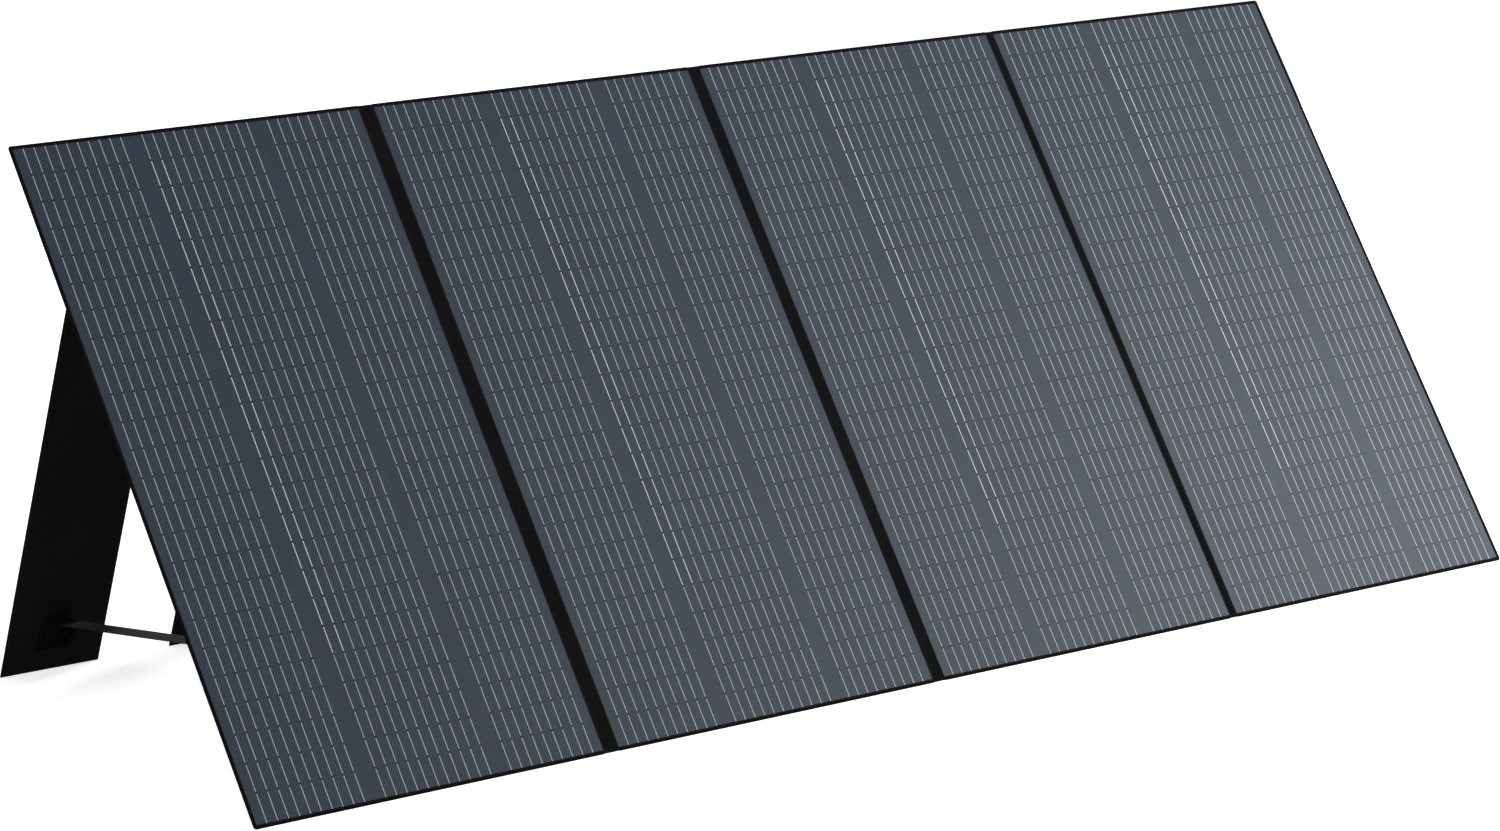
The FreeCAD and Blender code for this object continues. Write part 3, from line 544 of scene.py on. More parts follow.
def make_moulded(name, base, worn, rough, grain=1500.0, depth=0.00003, wear=0.0006, **sockets):
    """Moulded or painted pieces: fine grain, lighter worn edges."""
    material, tree, shader = new_finish(name, **sockets)
    place = object_place(tree)
    height = use_group(tree, GRAIN, {"Vector": place, "Scale": grain})["Height"]
    marks = use_group(tree, HANDLING, {"Vector": place, "Patch": 25.0, "Dust": 500.0})
    mask = use_group(tree, EDGE_WEAR, {"Vector": place, "Width": wear})["Mask"]
    faded = blend_colours(tree, times(tree, marks["Faded"], 0.25), base, worn)
    colour = blend_colours(tree, times(tree, mask, 0.7), faded, worn)
    dress(tree, shader, colour, times_plus(tree, marks["Specks"], 0.12, rough))
    bump(tree, shader, height, depth)
    return material


def make_laminate():
    """Matt embossed film over dark cells: slanting emboss between the conductors, smoother plain bands."""
    material, tree, shader = new_finish("cell laminate", Specular_IOR_Level=0.205, IOR=1.45)
    uv = turned_uv(tree)
    x, y, _ = parts_of(tree, uv)

    def ridges(across, along, pitch):
        slant = times_plus(tree, x, across, times(tree, y, along))
        wave = calc(tree, "SINE", times(tree, calc(tree, "DIVIDE", slant, pitch), math.tau))
        return times_plus(tree, wave, 0.5, 0.5)

    def from_whole(value):
        return calc(tree, "ABSOLUTE", calc(tree, "SUBTRACT", value, calc(tree, "ROUND", value)))

    # slanting emboss crossed by a weaker upright one, broken into short strokes
    turned = {"Vector": uv, "Rotation": (0, 0, math.radians(-33)), "Scale": (420, 95, 1)}
    strokes = noise(tree, put(tree, "ShaderNodeMapping", turned).outputs[0], 1.0, 2.0)
    slanting = ridges(0.84, -0.54, EMBOSS_PITCH)
    upright = times(tree, ridges(0.98, 0.17, 1.45 * EMBOSS_PITCH), 0.3)
    emboss = times_plus(tree, strokes, 0.5, times_plus(tree, slanting, 0.6, upright))
    # how far from a side or from a plain band's middle, in line pitches
    column = calc(tree, "DIVIDE", x, LINE_PITCH)
    plain = (0, *PLAIN_LINES, LINE_COLUMNS)
    nearest, *others = [calc(tree, "ABSOLUTE", calc(tree, "SUBTRACT", column, line)) for line in plain]
    for other in others:
        nearest = calc(tree, "MINIMUM", nearest, other)
    embossed = ramp(tree, nearest, 0.7, 1.1, 0.35, 1.0)
    # each cell has its own tone, and a thin dark joint to the next row
    row = calc(tree, "DIVIDE", calc(tree, "SUBTRACT", y, ROW_START), ROW_PITCH)
    joint = ramp(tree, times(tree, from_whole(row), ROW_PITCH), 0.8 * MM, 0.2 * MM)
    joint = times(tree, joint, times(tree, noise(tree, uv, 30.0, 1.0), 0.5))
    group_of = calc(tree, "FLOOR", calc(tree, "DIVIDE", column, 11.4))
    cell = put(tree, "ShaderNodeCombineXYZ", {0: group_of, 1: calc(tree, "FLOOR", row)}).outputs[0]
    tone = put(tree, "ShaderNodeTexWhiteNoise", {"Vector": cell}).outputs[0]
    # the colour follows the emboss, lighter on its ridges: painted light and shade of the relief, plus each
    # cell's own tone
    shade = times_plus(tree, calc(tree, "SUBTRACT", emboss, 0.7), times(tree, embossed, 1.9), 0.46)
    shade = times_plus(tree, tone, 0.08, shade, clamp=True)
    colour = blend_colours(tree, shade, rgb(8, 18, 26), rgb(40, 56, 75))
    # painted shade in a band beside each conductor, where the film dips; the sheet itself stays flat there.
    # It is mixed with the dark row joints
    beside = ramp(tree, times(tree, from_whole(column), LINE_PITCH), 2.6 * MM, 1.4 * MM)
    dark = calc(tree, "MAXIMUM", joint, times(tree, beside, times(tree, embossed, 0.3)))
    colour = blend_colours(tree, dark, colour, rgb(12, 17, 25))
    dress(tree, shader, colour, times_plus(tree, emboss, 0.05, 0.475))
    bump(tree, shader, times(tree, emboss, embossed), 0.00014)
    return material


def make_ribbon(name, base, rough):
    """Tinned conductor seen through the film: slightly uneven solder."""
    material, tree, shader = new_finish(name, Specular_IOR_Level=0.205)
    uneven = noise(tree, object_place(tree), 260.0, 2.0)
    colour = blend_colours(tree, uneven, toned(base, 0.72), base)
    dress(tree, shader, colour, times_plus(tree, uneven, 0.2, rough))
    return material


def make_thread(name, dark, light):
    """Twisted sewing thread."""
    material, tree, shader = new_finish(name, Sheen_Weight=0.1, Specular_IOR_Level=0.2)
    x, y, z = parts_of(tree, object_place(tree))
    slant = calc(tree, "ADD", x, calc(tree, "ADD", y, z))
    twist = calc(tree, "SINE", times(tree, slant, math.tau / 0.0006))
    strands = times_plus(tree, twist, 0.5, 0.5)
    colour = blend_colours(tree, strands, dark, light)
    dress(tree, shader, colour, times_plus(tree, strands, -0.15, 0.7))
    return material


LINE_COLUMNS = 33  # conductor pitches across one face
PLAIN_LINES = (11, 23)  # pitches that carry no conductor
ROWS = 24
EMBOSS_PITCH = 3.5 * MM
film_left, film_right = panel_sides(2)
LINE_PITCH = (film_right - film_left) / LINE_COLUMNS
ROW_PITCH = 42.77 * MM
ROW_START = 6.6 * MM  # the lowest row joint above the panel's bottom edge

LAMINATE = make_laminate()
RIBBON = make_ribbon("tinned ribbon", rgb(167, 171, 177), 0.4)
BRIGHT_RIBBON = make_ribbon("bright tinned ribbon", rgb(206, 210, 215), 0.4)
# painted shadow of the solder joints between the dashes
JOINT_SHADOW = make_moulded("painted cell joint shadow", rgb(3, 6, 10), rgb(9, 14, 20), 0.5, Specular_IOR_Level=0.12)
COVER_CLOTH = make_cloth("coated oxford cloth", rgb(20, 20, 21), rgb(50, 50, 53), 0.00085, 0.0002, gloss=0.16)
SLEEVE_CLOTH = make_cloth("sleeve cloth", rgb(9, 9, 10), rgb(31, 31, 32), 0.0008, 0.00018, rough=0.9,
                          gloss=0.03)


HINGE_CLOTH = make_cloth("hinge cloth", rgb(8, 8, 8), rgb(20, 20, 20), 0.0007, 0.0001, rough=0.9, turn=45,
                         gloss=0.02)


PATCH_CLOTH = make_cloth("patch cloth", rgb(3, 3, 3), rgb(13, 13, 14), 0.0011, 0.0002, rough=0.95, gloss=0.02)
POUCH_CLOTH = make_cloth("pouch cloth", rgb(31, 31, 33), rgb(68, 68, 72), 0.00085, 0.0002, gloss=0.16)
BINDING_TAPE = make_webbing("binding tape", rgb(3, 3, 4), rgb(12, 12, 13), 0.0009, 0.0011, 0.0001, gloss=0.02)
STRAP_WEBBING = make_webbing("strap webbing", rgb(7, 7, 8), rgb(24, 24, 25), 0.0019, 0.0013, 0.00018,
                             gloss=0.04)


HANDLE_WEBBING = make_webbing("handle webbing", rgb(18, 18, 19), rgb(58, 58, 61), 0.0017, 0.0012, 0.00025,
                              gloss=0.12)


ZIP_TAPE = make_webbing("zip tape cloth", rgb(14, 14, 15), rgb(40, 40, 42), 0.0007, 0.0009, 0.00008,
                        gloss=0.1)


THREAD = make_thread("grey sewing thread", rgb(26, 26, 28), rgb(58, 58, 62))
BLACK_THREAD = make_thread("black sewing thread", rgb(5, 5, 6), rgb(18, 18, 19))
GRIP_RUBBER = make_moulded("grip rubber", rgb(30, 30, 31), rgb(62, 62, 64), 0.55, grain=1100.0, depth=0.00005)
BOX_PLASTIC = make_moulded("box plastic", rgb(26, 26, 28), rgb(74, 74, 78), 0.42, grain=1700.0, depth=0.00004)
SEAL_RUBBER = make_moulded("seal rubber", rgb(12, 12, 12), rgb(32, 32, 32), 0.75, grain=900.0)
ZIP_PLASTIC = make_moulded("zip plastic", rgb(18, 18, 19), rgb(58, 58, 60), 0.35, depth=0.00001, wear=0.0003)
ZIP_METAL = make_moulded("painted zip metal", rgb(34, 34, 36), rgb(128, 128, 130), 0.3, depth=0.00001,
                         wear=0.0003)


SCREW_STEEL = make_moulded("screw steel", rgb(150, 150, 152), rgb(205, 205, 207), 0.3, grain=2500.0,
                           depth=0.00001, wear=0.0003, Metallic=1.0)


SILICON = make_moulded("silicon wafer", rgb(24, 30, 46), rgb(36, 44, 62), 0.25, depth=0.00001)
BOARD = make_moulded("backing board", rgb(60, 60, 58), rgb(90, 90, 86), 0.6, grain=700.0)


# ---- geometry trees
def make_real(tree, placed, finish, result):
    """Makes placed parts real, gives them their finish and hands them on as the result."""
    real = put(tree, "GeometryNodeRealizeInstances", {0: placed.outputs[0]})
    done = put(tree, "GeometryNodeSetMaterial", {"Geometry": real.outputs[0], "Material": finish})
    tree.links.new(done.outputs[0], result["Geometry"])


def make_spread_tree():
    """One small part repeated in columns and rows, centred on the origin."""
    tree, given, result = new_group("Even spread", "GeometryNodeTree", [
        ("Geometry", GEOMETRY, None), ("Columns", INT, 2), ("Rows", INT, 2), ("Column pitch", FLOAT, 0.01),
        ("Row pitch", FLOAT, 0.01), ("Finish", MATERIAL, None)], [("Geometry", GEOMETRY)])
    spans = [times(tree, calc(tree, "SUBTRACT", given[count], 1), given[pitch])
             for count, pitch in (("Columns", "Column pitch"), ("Rows", "Row pitch"))]
    grid = put(tree, "GeometryNodeMeshGrid", {
        "Size X": spans[0], "Size Y": spans[1], "Vertices X": given["Columns"], "Vertices Y": given["Rows"]})
    placed = put(tree, "GeometryNodeInstanceOnPoints",
                 {"Points": grid.outputs[0], "Instance": given["Geometry"]})
    make_real(tree, placed, given["Finish"], result)
    return tree


def make_stitch_tree():
    """Stitches along the edges of a wire mesh: one every pitch, each a rounded grain laid along the run."""
    tree, given, result = new_group("Stitching", "GeometryNodeTree", [
        ("Geometry", GEOMETRY, None), ("Pitch", FLOAT, 0.0035), ("Length", FLOAT, 0.0026),
        ("Thread", FLOAT, 0.0004), ("Finish", MATERIAL, None)], [("Geometry", GEOMETRY)])
    curve = put(tree, "GeometryNodeMeshToCurve", {0: given["Geometry"]})
    spaced = put(tree, "GeometryNodeResampleCurve", {"Curve": curve.outputs[0], "Length": given["Pitch"]},
                 mode="LENGTH")
    lay = put(tree, "FunctionNodeAlignRotationToVector",
              {"Vector": put(tree, "GeometryNodeInputTangent").outputs[0]},
              axis="X")
    grain = put(tree, "GeometryNodeMeshUVSphere", {"Segments": 6, "Rings": 4, "Radius": 0.5})
    size = put(tree, "ShaderNodeCombineXYZ", {0: given["Thread"], 1: given["Thread"], 2: given["Length"]})
    laid = put(tree, "GeometryNodeTransform", {"Geometry": grain.outputs[0], "Scale": size.outputs[0]})
    turned = {"Geometry": laid.outputs[0], "Rotation": (0, math.pi / 2, 0)}
    stitch = put(tree, "GeometryNodeTransform", turned).outputs[0]
    placed = put(tree, "GeometryNodeInstanceOnPoints", {
        "Points": spaced.outputs[0], "Instance": stitch, "Rotation": lay.outputs[0]})
    make_real(tree, placed, given["Finish"], result)
    return tree


EVEN_SPREAD = make_spread_tree()
STITCHING = make_stitch_tree()


def evaluated(obj):
    """The plain mesh of an object with its modifiers applied."""
    bpy.context.view_layer.update()
    return bpy.data.meshes.new_from_object(obj.evaluated_get(bpy.context.evaluated_depsgraph_get()))


def grown(tree, seed, values):
    """The plain mesh that a geometry tree makes of a seed mesh with these inputs."""
    holder = new_object("holder", seed)
    modifier = holder.modifiers.new("Grow", "NODES")
    modifier.node_group = tree
    sockets = {item.name: item.identifier for item in tree.interface.items_tree if item.in_out == "INPUT"}
    for name, given in values.items():
        modifier[sockets[name]] = given
    mesh = evaluated(holder)
    holder.modifiers.remove(modifier)
    bpy.data.objects.remove(holder)
    return mesh


ANY_PITCH = 0.1  # between the rows or columns of a spread that has only one


def spread(part, columns, rows, column_pitch, row_pitch, finish):
    return grown(EVEN_SPREAD, part, {"Columns": columns, "Rows": rows, "Column pitch": column_pitch,
                                     "Row pitch": row_pitch, "Finish": finish})


def stitched(runs, finish):
    """Stitches along runs of points in a piece's own frame."""
    points, wires = [], []
    for run in runs:
        first = len(points)
        points += [tuple(p) for p in run]
        wires += [(i, i + 1) for i in range(first, len(points) - 1)]
    seed = bpy.data.meshes.new("runs")
    seed.from_pydata(points, wires, [])
    return grown(STITCHING, seed, {"Pitch": 3.4 * MM, "Length": 2.6 * MM, "Thread": 0.45 * MM,
                                   "Finish": finish})


def add_stitches(name, runs, place, body, finish=THREAD):
    add_piece(name, stitched(runs, finish), place, finish, body, angle=60)


def box_run(width, height, z, x=0.0, y=0.0, cross=False):
    """Stitch runs of a sewn rectangle, with a cross in it if wanted."""
    signs = ((-1, -1), (1, -1), (1, 1), (-1, 1))
    corners = [(x + sx * width / 2, y + sy * height / 2, z) for sx, sy in signs]
    runs = [corners + corners[:1]]
    if cross:
        runs += [[corners[0], corners[2]], [corners[1], corners[3]]]
    return runs


# ---------------------------------------------------------------- camera, floor and light
FLOOR_SPAN = (-30, 30)


def make_camera():
    data = bpy.data.cameras.new("camera")
    data.sensor_width = 36.0
    data.lens = 123.569
    data.clip_end = 200
    camera = new_object("camera", data)
    camera.location = (-4.78947, -6.04228, 2.02984)
    camera.rotation_euler = (math.radians(77.553), 0, math.radians(-38.386))
    bpy.context.scene.camera = camera


def make_light(name, location, target, width, height, power, colour=(1, 1, 1)):
    """A rectangular lamp that looks at its target."""
    data = bpy.data.lights.new(name, "AREA")
    data.shape = "RECTANGLE"
    data.size, data.size_y = width, height
    data.energy = power
    data.color = colour
    light = new_object(name, data)
    light.location = location
    light.rotation_euler = (Vector(target) - light.location).to_track_quat("-Z", "Y").to_euler()


def seen_or_mirrored(tree):
    """1 where the backdrop is looked at, also in a mirror or through glass."""
    path = put(tree, "ShaderNodeLightPath").outputs
    mirrored = calc(tree, "MAXIMUM", path["Is Glossy Ray"], path["Is Transmission Ray"])
    return calc(tree, "MAXIMUM", path["Is Camera Ray"], mirrored)


def make_stage():
    """Pale floor, white surroundings and five lamps."""
    floor = new_object("floor", shell(FLOOR_SPAN, FLOOR_SPAN, flat(-0.0002), flat(-0.02)))
    material, tree, shader = new_finish("pale floor", Base_Color=(0.86, 0.86, 0.86, 1), Roughness=0.9,
                                        Specular_IOR_Level=0.1)
    tree.links.new(times(tree, seen_or_mirrored(tree), 0.72), shader.inputs["Emission Strength"])
    shader.inputs["Emission Color"].default_value = (1, 1, 1, 1)
    floor.data.materials.append(material)

    world = bpy.data.worlds.new("studio")
    bpy.context.scene.world = world
    world.use_nodes = True
    tree = world.node_tree
    tree.nodes.clear()
    strength = put(tree, "ShaderNodeMix", {0: seen_or_mirrored(tree), 2: 0.3, 3: 1.0}).outputs[0]
    back = put(tree, "ShaderNodeBackground", {"Color": (1, 1, 1, 1), "Strength": strength})
    put(tree, "ShaderNodeOutputWorld", {"Surface": back.outputs[0]})

    make_light("high right", (5.11, -2.31, 6.74), (0, -0.1, 0.4), 3.0, 2.4, 60)
    make_light("low right", (4.39, -2.71, 2.27), (1.2, -0.4, 0.1), 2.35, 1.88, 308, (1, 0.985, 0.94))
    make_light("front left", (-4.6, -4.4, 3.6), (0, -0.1, 0.4), 3.0, 2.4, 60)
    make_light("back left", (4.7, 2.4, 0.8), (-0.2, 0.0, 0.4), 1.2, 1.1, 480)
    make_light("back right", (-3.4, 4.6, 1.3), (0, 0.1, 0.4), 2.6, 2.0, 60)


make_camera()
make_stage()
view = bpy.context.scene.view_settings
view.view_transform = "Standard"

PANELS = (1, 2, 3, 4)
LEGS = (1, 2, 3, 4)
PANEL_OF_LEG = {1: 1, 2: 1, 3: 4, 4: 4}
TAPE = 0.35 * MM  # the layers end this far inside the outline
EDGE_DEPTH = 1.1 * MM  # of the rim's back, under the face
LAYER_SEAM = -0.5 * MM  # where the laminate and the back cloth meet
CORNER = 4.0 * MM
CORNER_CUT = 1.1 * MM
RIM, RIM_AT_FOLD = 11.0 * MM, 2.4 * MM  # round the back cloth's field
BINDING_STEP = 45 * MM


# ---------------------------------------------------------------- panels
def free_left(number):
    return number == PANELS[0]


def free_right(number):
    return number == PANELS[-1]


def clip_corners(number, x0, x1, y0, y1):
    """Moves a layer's outer corners in, under the binding's rounding."""
    def move(x, y, z):
        corner = (np.abs(x - x0) < 1e-6) & free_left(number) | (np.abs(x - x1) < 1e-6) & free_right(number)
        corner &= (np.abs(y - y0) < 1e-6) | (np.abs(y - y1) < 1e-6)
        x = np.where(corner, x + np.where(x < (x0 + x1) / 2, CORNER_CUT, -CORNER_CUT), x)
        y = np.where(corner, y + np.where(y < (y0 + y1) / 2, CORNER_CUT, -CORNER_CUT), y)
        return x, y, z
    return move


def make_laminate_sheet(number):
    """The front laminate: film over cells, with a slight dip along each joint between rows."""
    x0, x1 = panel_sides(number)
    y0, y1 = TAPE, HEIGHT - TAPE
    face_left = x0 if not free_left(number) else x1 - LINE_PITCH * LINE_COLUMNS
    row_joints = [ROW_START + i * ROW_PITCH for i in range(ROWS + 1)]
    near = [row + side * away for row in row_joints for side in (-1, 1) for away in (0.5 * MM, 2.2 * MM)]
    xs = [x0, x0 + CORNER, x1 - CORNER, x1]
    ys = sorted({y0, y0 + CORNER, y1 - CORNER, y1, *[y for y in near if y0 + 1 * MM < y < y1 - 1 * MM]})

    def high(x, y):
        joint = np.minimum.reduce([np.abs(y - row) for row in row_joints])
        return -0.05 * MM * (1 - edge_ease(joint - 0.5 * MM, 1.7 * MM))

    mesh = shell(xs, ys, high, flat(LAYER_SEAM), clip_corners(number, x0, x1, y0, y1))
    lay_uv(mesh, face_left)
    add_piece(f"laminate_{number}", mesh, FACE, LAMINATE, f"panel_{number}", [f"front_film_{number}"],
              angle=20)
    return face_left


def make_busbars(number, face_left):
    """Tinned ribbons: a dash on each cell, in three groups of columns, with a dark mark at each joint,
    painted as the solder joint's shadow.
    """
    gap, wide = 3.4 * MM, 1.4 * MM
    ribbon = block(wide, ROW_PITCH - gap, 0.05 * MM)
    stub = block(wide, 4.0 * MM, 0.05 * MM)
    # painted shadow of each solder joint, a dark mark between the dashes
    mark = block(4.2 * MM, 1.3 * MM, 0.04 * MM)
    # first line, lines, lowest row, rows, bright
    groups = ((1, 10, 0, ROWS, False), (14, 9, 0, ROWS, False), (24, 9, 0, ROWS, False), (12, 2, 0, 5, False),
              (12, 2, 23, 1, False), (12, 2, 5, 18, True))
    parts = []

    def place(part, first, lines, y, rows, finish, index, level):
        x = face_left - 0.4 * MM + LINE_PITCH * (first + (lines - 1) / 2)
        laid = spread(part, lines, rows, LINE_PITCH, ROW_PITCH, finish)
        parts.append((laid, shift(x, y, level), index))

    for first, lines, low_row, rows, bright in groups:
        y = ROW_START + ROW_PITCH * (low_row + rows / 2)
        place(ribbon, first, lines, y, rows, BRIGHT_RIBBON if bright else RIBBON, int(bright), 0.02 * MM)
    middle = ROW_START + ROWS * ROW_PITCH / 2
    for first, lines in ((1, 10), (12, 11), (24, 9)):
        place(mark, first, lines, middle, ROWS - 1, JOINT_SHADOW, 2, 0.0)
        place(stub, first, lines, ROW_START, 1, RIBBON, 0, 0.018 * MM)
    add_piece(f"busbars_{number}", joined(parts), FACE, [RIBBON, BRIGHT_RIBBON, JOINT_SHADOW],
              f"panel_{number}")


def make_cover(number):
    """Back cloth: a flat rim, rounded up over the board's edge, taut over the field."""
    x0, x1 = panel_sides(number)
    y0, y1 = TAPE, HEIGHT - TAPE
    rim_left = RIM if free_left(number) else RIM_AT_FOLD
    rim_right = RIM if free_right(number) else RIM_AT_FOLD
    left, right, bottom, top = x0 + rim_left, x1 - rim_right, y0 + RIM, y1 - RIM

    def lines(start, end, *edges):
        shoulder = [r * MM for r in (0, 0.4, 0.9, 1.6, 2.6)]
        field = steps_between(start + 20 * MM, end - 20 * MM, 24 * MM)
        return sorted({*edges, *[start + s for s in shoulder], *[end - s for s in shoulder], *field})

    xs = lines(left, right, x0, x1, x0 + 0.9 * rim_left, x1 - 0.9 * rim_right)
    ys = lines(bottom, top, y0, y1, y0 + CORNER, y1 - CORNER)

    def low(x, y):
        inside = np.minimum.reduce([x - left, right - x, y - bottom, top - y])
        slack = edge_ease(inside, 60 * MM) * 0.12 * MM * (1 + ripples(x, y, number, 0.16))
        return -EDGE_DEPTH + (EDGE_DEPTH - DEPTH) * round_up(inside, 2.6 * MM) + slack

    mesh = shell(xs, ys, flat(LAYER_SEAM), low, clip_corners(number, x0, x1, y0, y1))
    piece = add_piece(f"back_cloth_{number}", mesh, FACE, COVER_CLOTH, f"panel_{number}",
                      [f"back_cover_{number}"])


def free_edges(number, inset, z):
    """The runs of a panel's free edges at an inset, with rounded outer corners."""
    left, right = reach(f"edge_binding_{number}", ALONG)
    low, high = inset, HEIGHT - inset
    if not (free_left(number) or free_right(number)):
        return [[(x, y, z) for x in steps_between(left, right, BINDING_STEP)] for y in (low, high)]
    radius = max(CORNER - inset, 0.05 * MM)
    outer, inner, sign = (left, right, 1) if free_left(number) else (right, left, -1)
    side = outer + sign * inset
    quarter = [math.radians(90 * step / CORNER_STEPS) for step in range(1, CORNER_STEPS + 1)]
    run = [(x, low, z) for x in steps_between(inner, side + sign * radius, BINDING_STEP)]
    run += [(side + sign * radius * (1 - math.sin(a)), low + radius * (1 - math.cos(a)), z) for a in quarter]
    run += [(side, y, z) for y in steps_between(low + radius, high - radius, BINDING_STEP)[1:]]
    run += [(side + sign * radius * (1 - math.cos(a)), high - radius * (1 - math.sin(a)), z) for a in quarter]
    run += [(x, high, z) for x in steps_between(side + sign * radius, inner, BINDING_STEP)[1:]]
    return [run]


BINDING_PROFILE = (  # inset, height over the face: round the folded tape, outside then inside
    (5.2, 0.02), (5.18, 0.3), (4.9, 0.38), (3.6, 0.33), (2.6, 0.37), (1.0, 0.38), (0.1, 0.32), (-0.45, 0.1),
    (-0.65, -0.3), (-0.65, -0.95), (-0.4, -1.35), (0.3, -1.55), (2.0, -1.48), (6.4, -1.45), (7.4, -1.41),
    (8.4, -1.46), (8.9, -1.42), (9.0, -1.12), (0.5, -1.1), (0.36, -1.0), (0.36, -0.1), (0.5, 0.0))


def make_binding(number):
    """Folded tape sewn round the free edges."""
    levels = [free_edges(number, inset, z) for inset, z in in_mm(BINDING_PROFILE)]
    parts = [(swept(list(zip(*strand))), HERE, 0) for strand in zip(*levels)]
    add_piece(f"edge_tape_{number}", joined(parts), FACE, BINDING_TAPE, f"panel_{number}",
              [f"edge_binding_{number}"], angle=35)
    runs = free_edges(number, 3.6 * MM, 0.36 * MM) + free_edges(number, 7.4 * MM, -1.44 * MM)
    add_stitches(f"edge_stitches_{number}", runs, FACE, f"panel_{number}", BLACK_THREAD)


TIGHT_FOLDS = (3,)  # these close face to face, so their cloth turns in the crease alone


def make_fold_strip(number):
    """Doubled cloth strip between two panels, creased down its middle and sewn along both sides."""
    x0, x1 = panel_sides(number)[1], panel_sides(number + 1)[0]
    middle, half = (x0 + x1) / 2, (x1 - x0) / 2
    ys = steps_between(0, HEIGHT, 18 * MM)
    tight = number in TIGHT_FOLDS

    def sag(x, y):
        t = 1 - np.abs(x - middle) / half
        crease = 0.12 * MM * np.exp(-((x - middle) / (0.12 * half)) ** 2)
        uneven = 0.05 * MM * t * ripples(x, y, 40 + number, 0.2)
        return -0.22 * MM * edge_ease(t, 1.0) + crease + uneven

    def high(x, y):
        lip = 0.7 * MM * edge_ease(1.6 * MM - np.abs(x - middle), 1.3 * MM) if tight else 0
        return -0.1 * MM + sag(x, y) + lip

    def cloth(name, start, end, body, stands_for):
        xs = np.linspace(start, end, 15)
        if tight:  # closer together towards the crease
            xs = start + (end - start) * (1 - (1 - np.linspace(0, 1, 15)) ** 2)
        mesh = shell(sorted(xs), ys, high, lambda x, y: -1.1 * MM + sag(x, y))
        piece = add_piece(name, mesh, FACE, HINGE_CLOTH, body, stands_for)
        return piece

    left, right = f"panel_{number}", f"panel_{number + 1}"
    if tight:
        cloth(f"fold_cloth_{number}", x0, middle - 0.02 * MM, left, [f"fold_hinge_{number}"])
        cloth(f"fold_cloth_{number}_far", x1, middle + 0.02 * MM, right, [])
    else:
        piece = cloth(f"fold_cloth_{number}", x0, x1, None, [f"fold_hinge_{number}"])
        ends = [FACE @ Vector((x, HEIGHT / 2, 0)) for x in (x0, x1)]
        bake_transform(piece, left, right, start=ends[0], end=ends[1])
    for side, body, sign in ((x0, left, 1), (x1, right, -1)):
        seam, tips = side + sign * 2.2 * MM, (3 * MM, HEIGHT - 3 * MM)
        runs = [[(seam, y, z) for y in tips] for z in (-0.09 * MM, -1.13 * MM)]
        add_stitches(f"fold_stitches_{number}_{body}", runs, FACE, body, BLACK_THREAD)


for number in PANELS:
    make_busbars(number, make_laminate_sheet(number))
    make_cover(number)
    make_binding(number)


for number in PANELS[:-1]:
    make_fold_strip(number)


# ---------------------------------------------------------------- kickstands
LEG_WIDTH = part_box("leg_sleeve_1")[1].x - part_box("leg_sleeve_1")[0].x
LEG_THICKNESS = 4.0 * MM
LEG_HEAD = 3.0 * MM
SLEEVE_HEM = 0.85 * MM


def make_sleeve(number, place):
    """Cloth sleeve drawn over the kickstand's board: flat sewn hems, a firm field, its foot on the ground."""
    down = -(place.to_3x3() @ Vector((0, 1, 0)))
    length = place.translation.z / -down.z
    slant = -down.y / down.z  # the foot is cut level with the ground
    half = LEG_WIDTH / 2
    rise = (0, 0.5, 1.2, 5.2, 6.0, 6.8, 7.8, 8.8, 9.8, 11.5, 13)
    xs = grid_lines(half, rise, 60 * MM, 20 * MM)
    ys = sorted({*[-length + r * MM for r in rise], *[-LEG_HEAD - r * MM for r in rise],
                 *steps_between(-length + 30 * MM, -LEG_HEAD - 30 * MM, 26 * MM)})

    def face(side, seed):
        def level(x, y):
            inside = np.minimum.reduce([half - np.abs(x), y + length, -LEG_HEAD - y])
            hem = 0.5 * MM + 0.35 * MM * edge_ease(inside, 1.2 * MM)
            thick = hem + (LEG_THICKNESS / 2 - SLEEVE_HEM) * edge_ease(inside - 5.2 * MM, 6.3 * MM)
            sunk = 0.1 * MM * edge_ease(inside, 40 * MM) * (1 + ripples(x, y, seed + number))
            return -LEG_THICKNESS / 2 + side * thick - side * sunk
        return level

    def cut_level(x, y, z):
        near_foot = 1 - np.clip((y + length) / (12 * MM), 0, 1)
        outer = (np.abs(x) > half - 1e-6) & ((np.abs(y + length) < 1e-6) | (np.abs(y + LEG_HEAD) < 1e-6))
        x = np.where(outer, x * (1 - 1.0 * MM / half), x)
        return x, y + z * slant * near_foot, z

    mesh = shell(xs, ys, face(1, 60), face(-1, 70), cut_level)
    piece = add_piece(f"kickstand_sleeve_{number}", mesh, place, SLEEVE_CLOTH, f"kickstand_{number}",
                      [f"leg_sleeve_{number}"])
    side, head, foot = half - 4.0 * MM, -LEG_HEAD - 4.0 * MM, -length + 4.0 * MM
    corners = ((-side, head), (-side, foot), (side, foot), (side, head), (-side, head))
    for label, z in (("inner", -LEG_THICKNESS / 2 + SLEEVE_HEM), ("outer", -LEG_THICKNESS / 2 - SLEEVE_HEM)):
        run = [(x, y, z) for x, y in corners]
        add_stitches(f"sleeve_stitches_{label}_{number}", [run], place, f"kickstand_{number}", BLACK_THREAD)


